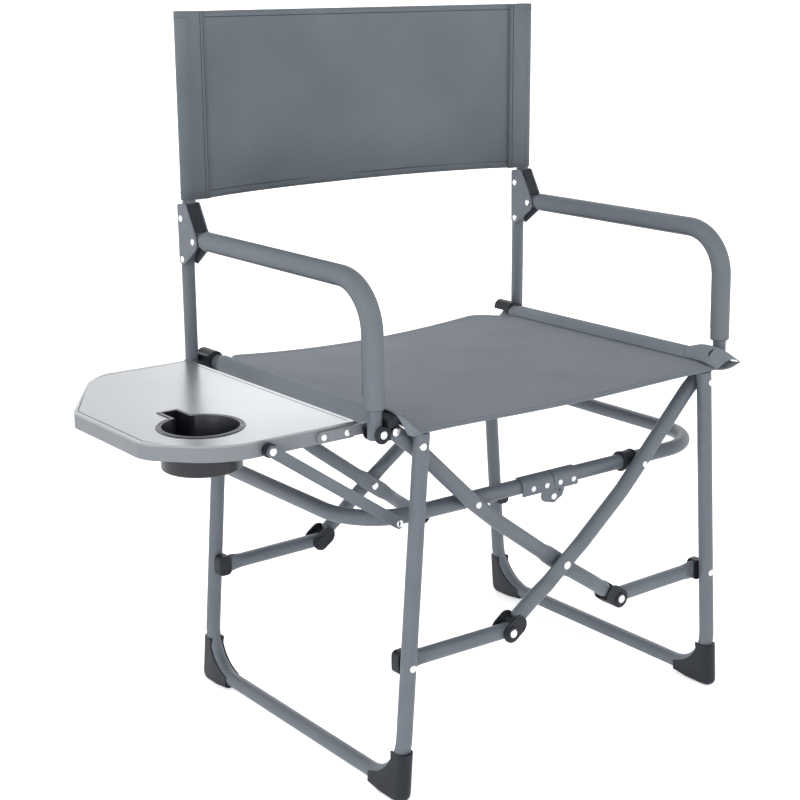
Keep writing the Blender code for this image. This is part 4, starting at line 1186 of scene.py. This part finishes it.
def make_support(end, sy):
    """A flat bar from the side of the table down to the hoop, with rounded ends."""
    thick = 4.6
    half = 6.6
    low_y = HOOP_Y + TUBE_R + GAP
    high_y = low_y if end == "front" else TABLE_REAR + GAP
    top = Vector((-405.6, sy * (high_y + thick / 2), 445))
    low = Vector((-238.7, sy * (low_y + thick / 2), 329))
    run = Vector((low.x - top.x, 0, low.z - top.z))
    reach = run.length
    along = run.normalized()
    side = Vector((along.z, 0, -along.x))
    tip = []
    for k in range(7):
        angle = math.radians(15 * k)
        tip.append((5.2 * math.cos(angle), half * (0.3 + 0.7 * math.sin(angle))))
    stations = [(-s, width) for s, width in tip] + [(reach * k / 12, half) for k in range(1, 12)]
    stations += [(reach + s, width) for s, width in reversed(tip)]
    bm = bmesh.new()
    rings = []
    for s, width in stations:
        y = mix(top.y, low.y, ease((s - 30) / (reach - 60)))
        base = Vector((top.x, y, top.z)) + along * s
        ring = []
        for a, b in ((1, 0.5), (-1, 0.5), (-1, -0.5), (1, -0.5)):
            ring.append(bm.verts.new(base + side * (a * width) + Vector((0, b * thick, 0))))
        rings.append(ring)
    skin_rings(bm, rings)
    add("support_bar_" + end, bm, "support", PAINT, 40, bevel=1.1, nodes=["table_support_" + end])
    outside = sy * (thick / 2)
    heads = [rivet((top.x, top.y + outside, top.z), (0, sy, 0), LEG_RIVET),
             rivet((low.x, low.y + outside, low.z), (0, sy, 0), LEG_RIVET)]
    add("support_rivets_" + end, merged(heads), "support", STEEL)
    if end == "front":
        spacer = disc((top.x, -TABLE_FRONT - GAP, top.z), (0, -1, 0), 8, 6.7, 32)
        add("support_spacer", spacer, "support", PLASTIC, 30, bevel=0.6)


# ---------------- setting, light and camera

def glowing_paper():
    made = Surface("pale_paper", 0.0, 0.1)
    made.set("Base Color", made.tint(made.noise(1.5, 2.0), (0.9, 0.9, 0.9), (0.93, 0.93, 0.93)))
    made.set("Roughness", 0.9)
    made.set("Emission Color", (1.0, 1.0, 1.0, 1))
    made.set("Emission Strength", PAPER_GLOW)
    return made.material


def make_setting():
    """One sheet of pale paper that runs from the floor up behind the chair on every side."""
    below = -0.001
    profile = [(below, 0.0), (below, PAPER_FLAT)]
    for k in range(1, 9):
        angle = math.radians(90 * k / 8)
        profile.append((PAPER_BEND * (1 - math.cos(angle)) + below,
                        PAPER_FLAT + PAPER_BEND * math.sin(angle)))
    profile.append((PAPER_TOP, PAPER_FLAT + PAPER_BEND))
    mesh = baked("paper", lathe((0, 0, 0), (0, 0, 1), profile, 96))
    mesh.shade_smooth()
    mesh.materials.append(glowing_paper())
    placed("paper", mesh)


def make_lamp(name, place, target, size, power):
    data = bpy.data.lights.new(name, "AREA")
    data.shape = "RECTANGLE"
    data.size, data.size_y = size
    data.energy = power
    lamp = placed(name, data)
    lamp.location = place
    lamp.rotation_mode = "QUATERNION"
    lamp.rotation_quaternion = (Vector(target) - Vector(place)).to_track_quat("-Z", "Y")


def make_light():
    world = bpy.data.worlds.new("studio")
    bpy.context.scene.world = world
    world.use_nodes = True
    background = world.node_tree.nodes["Background"]
    background.inputs["Color"].default_value = (1.0, 1.0, 1.0, 1)
    background.inputs["Strength"].default_value = WORLD_LIGHT
    make_lamp("key", (-1.6, -1.4, 3.2), (0.1, 0, 0.3), (2.4, 2.4), KEY_LIGHT)
    make_lamp("fill", (-3.4, -1.2, 1.4), (0.1, 0, 0.4), (1.6, 2.2), FILL_LIGHT)
    make_lamp("rear", (2.2, 2.6, 2.4), (0.1, 0, 0.5), (2.0, 2.0), REAR_LIGHT)


def make_camera():
    azimuth = math.radians(CAMERA_AZIMUTH)
    elevation = math.radians(CAMERA_ELEVATION)
    back = Vector((math.sin(azimuth) * math.cos(elevation), -math.cos(azimuth) * math.cos(elevation),
                   math.sin(elevation)))
    right = (-back).cross(Vector((0, 0, 1))).normalized()
    up = right.cross(-back)
    level = Matrix((right, up, back)).transposed()
    data = bpy.data.cameras.new("photo_view")
    data.lens = CAMERA_LENS
    data.sensor_width = 36
    data.shift_y = CAMERA_SHIFT
    camera = placed("photo_view", data)
    target = Vector((MIDDLE, 0, 0)) + Vector(CAMERA_TARGET) * MM
    turn = level @ Matrix.Rotation(math.radians(CAMERA_ROLL), 3, "Z")
    camera.matrix_world = Matrix.Translation(target + back * (CAMERA_DISTANCE * MM)) @ turn.to_4x4()
    bpy.context.scene.camera = camera


make_legs()
make_bars()
make_links()
make_hoop()
make_arms()
make_back()
make_seat()
make_table()
make_setting()
make_light()
make_camera()
bpy.context.scene.view_settings.view_transform = "Standard"
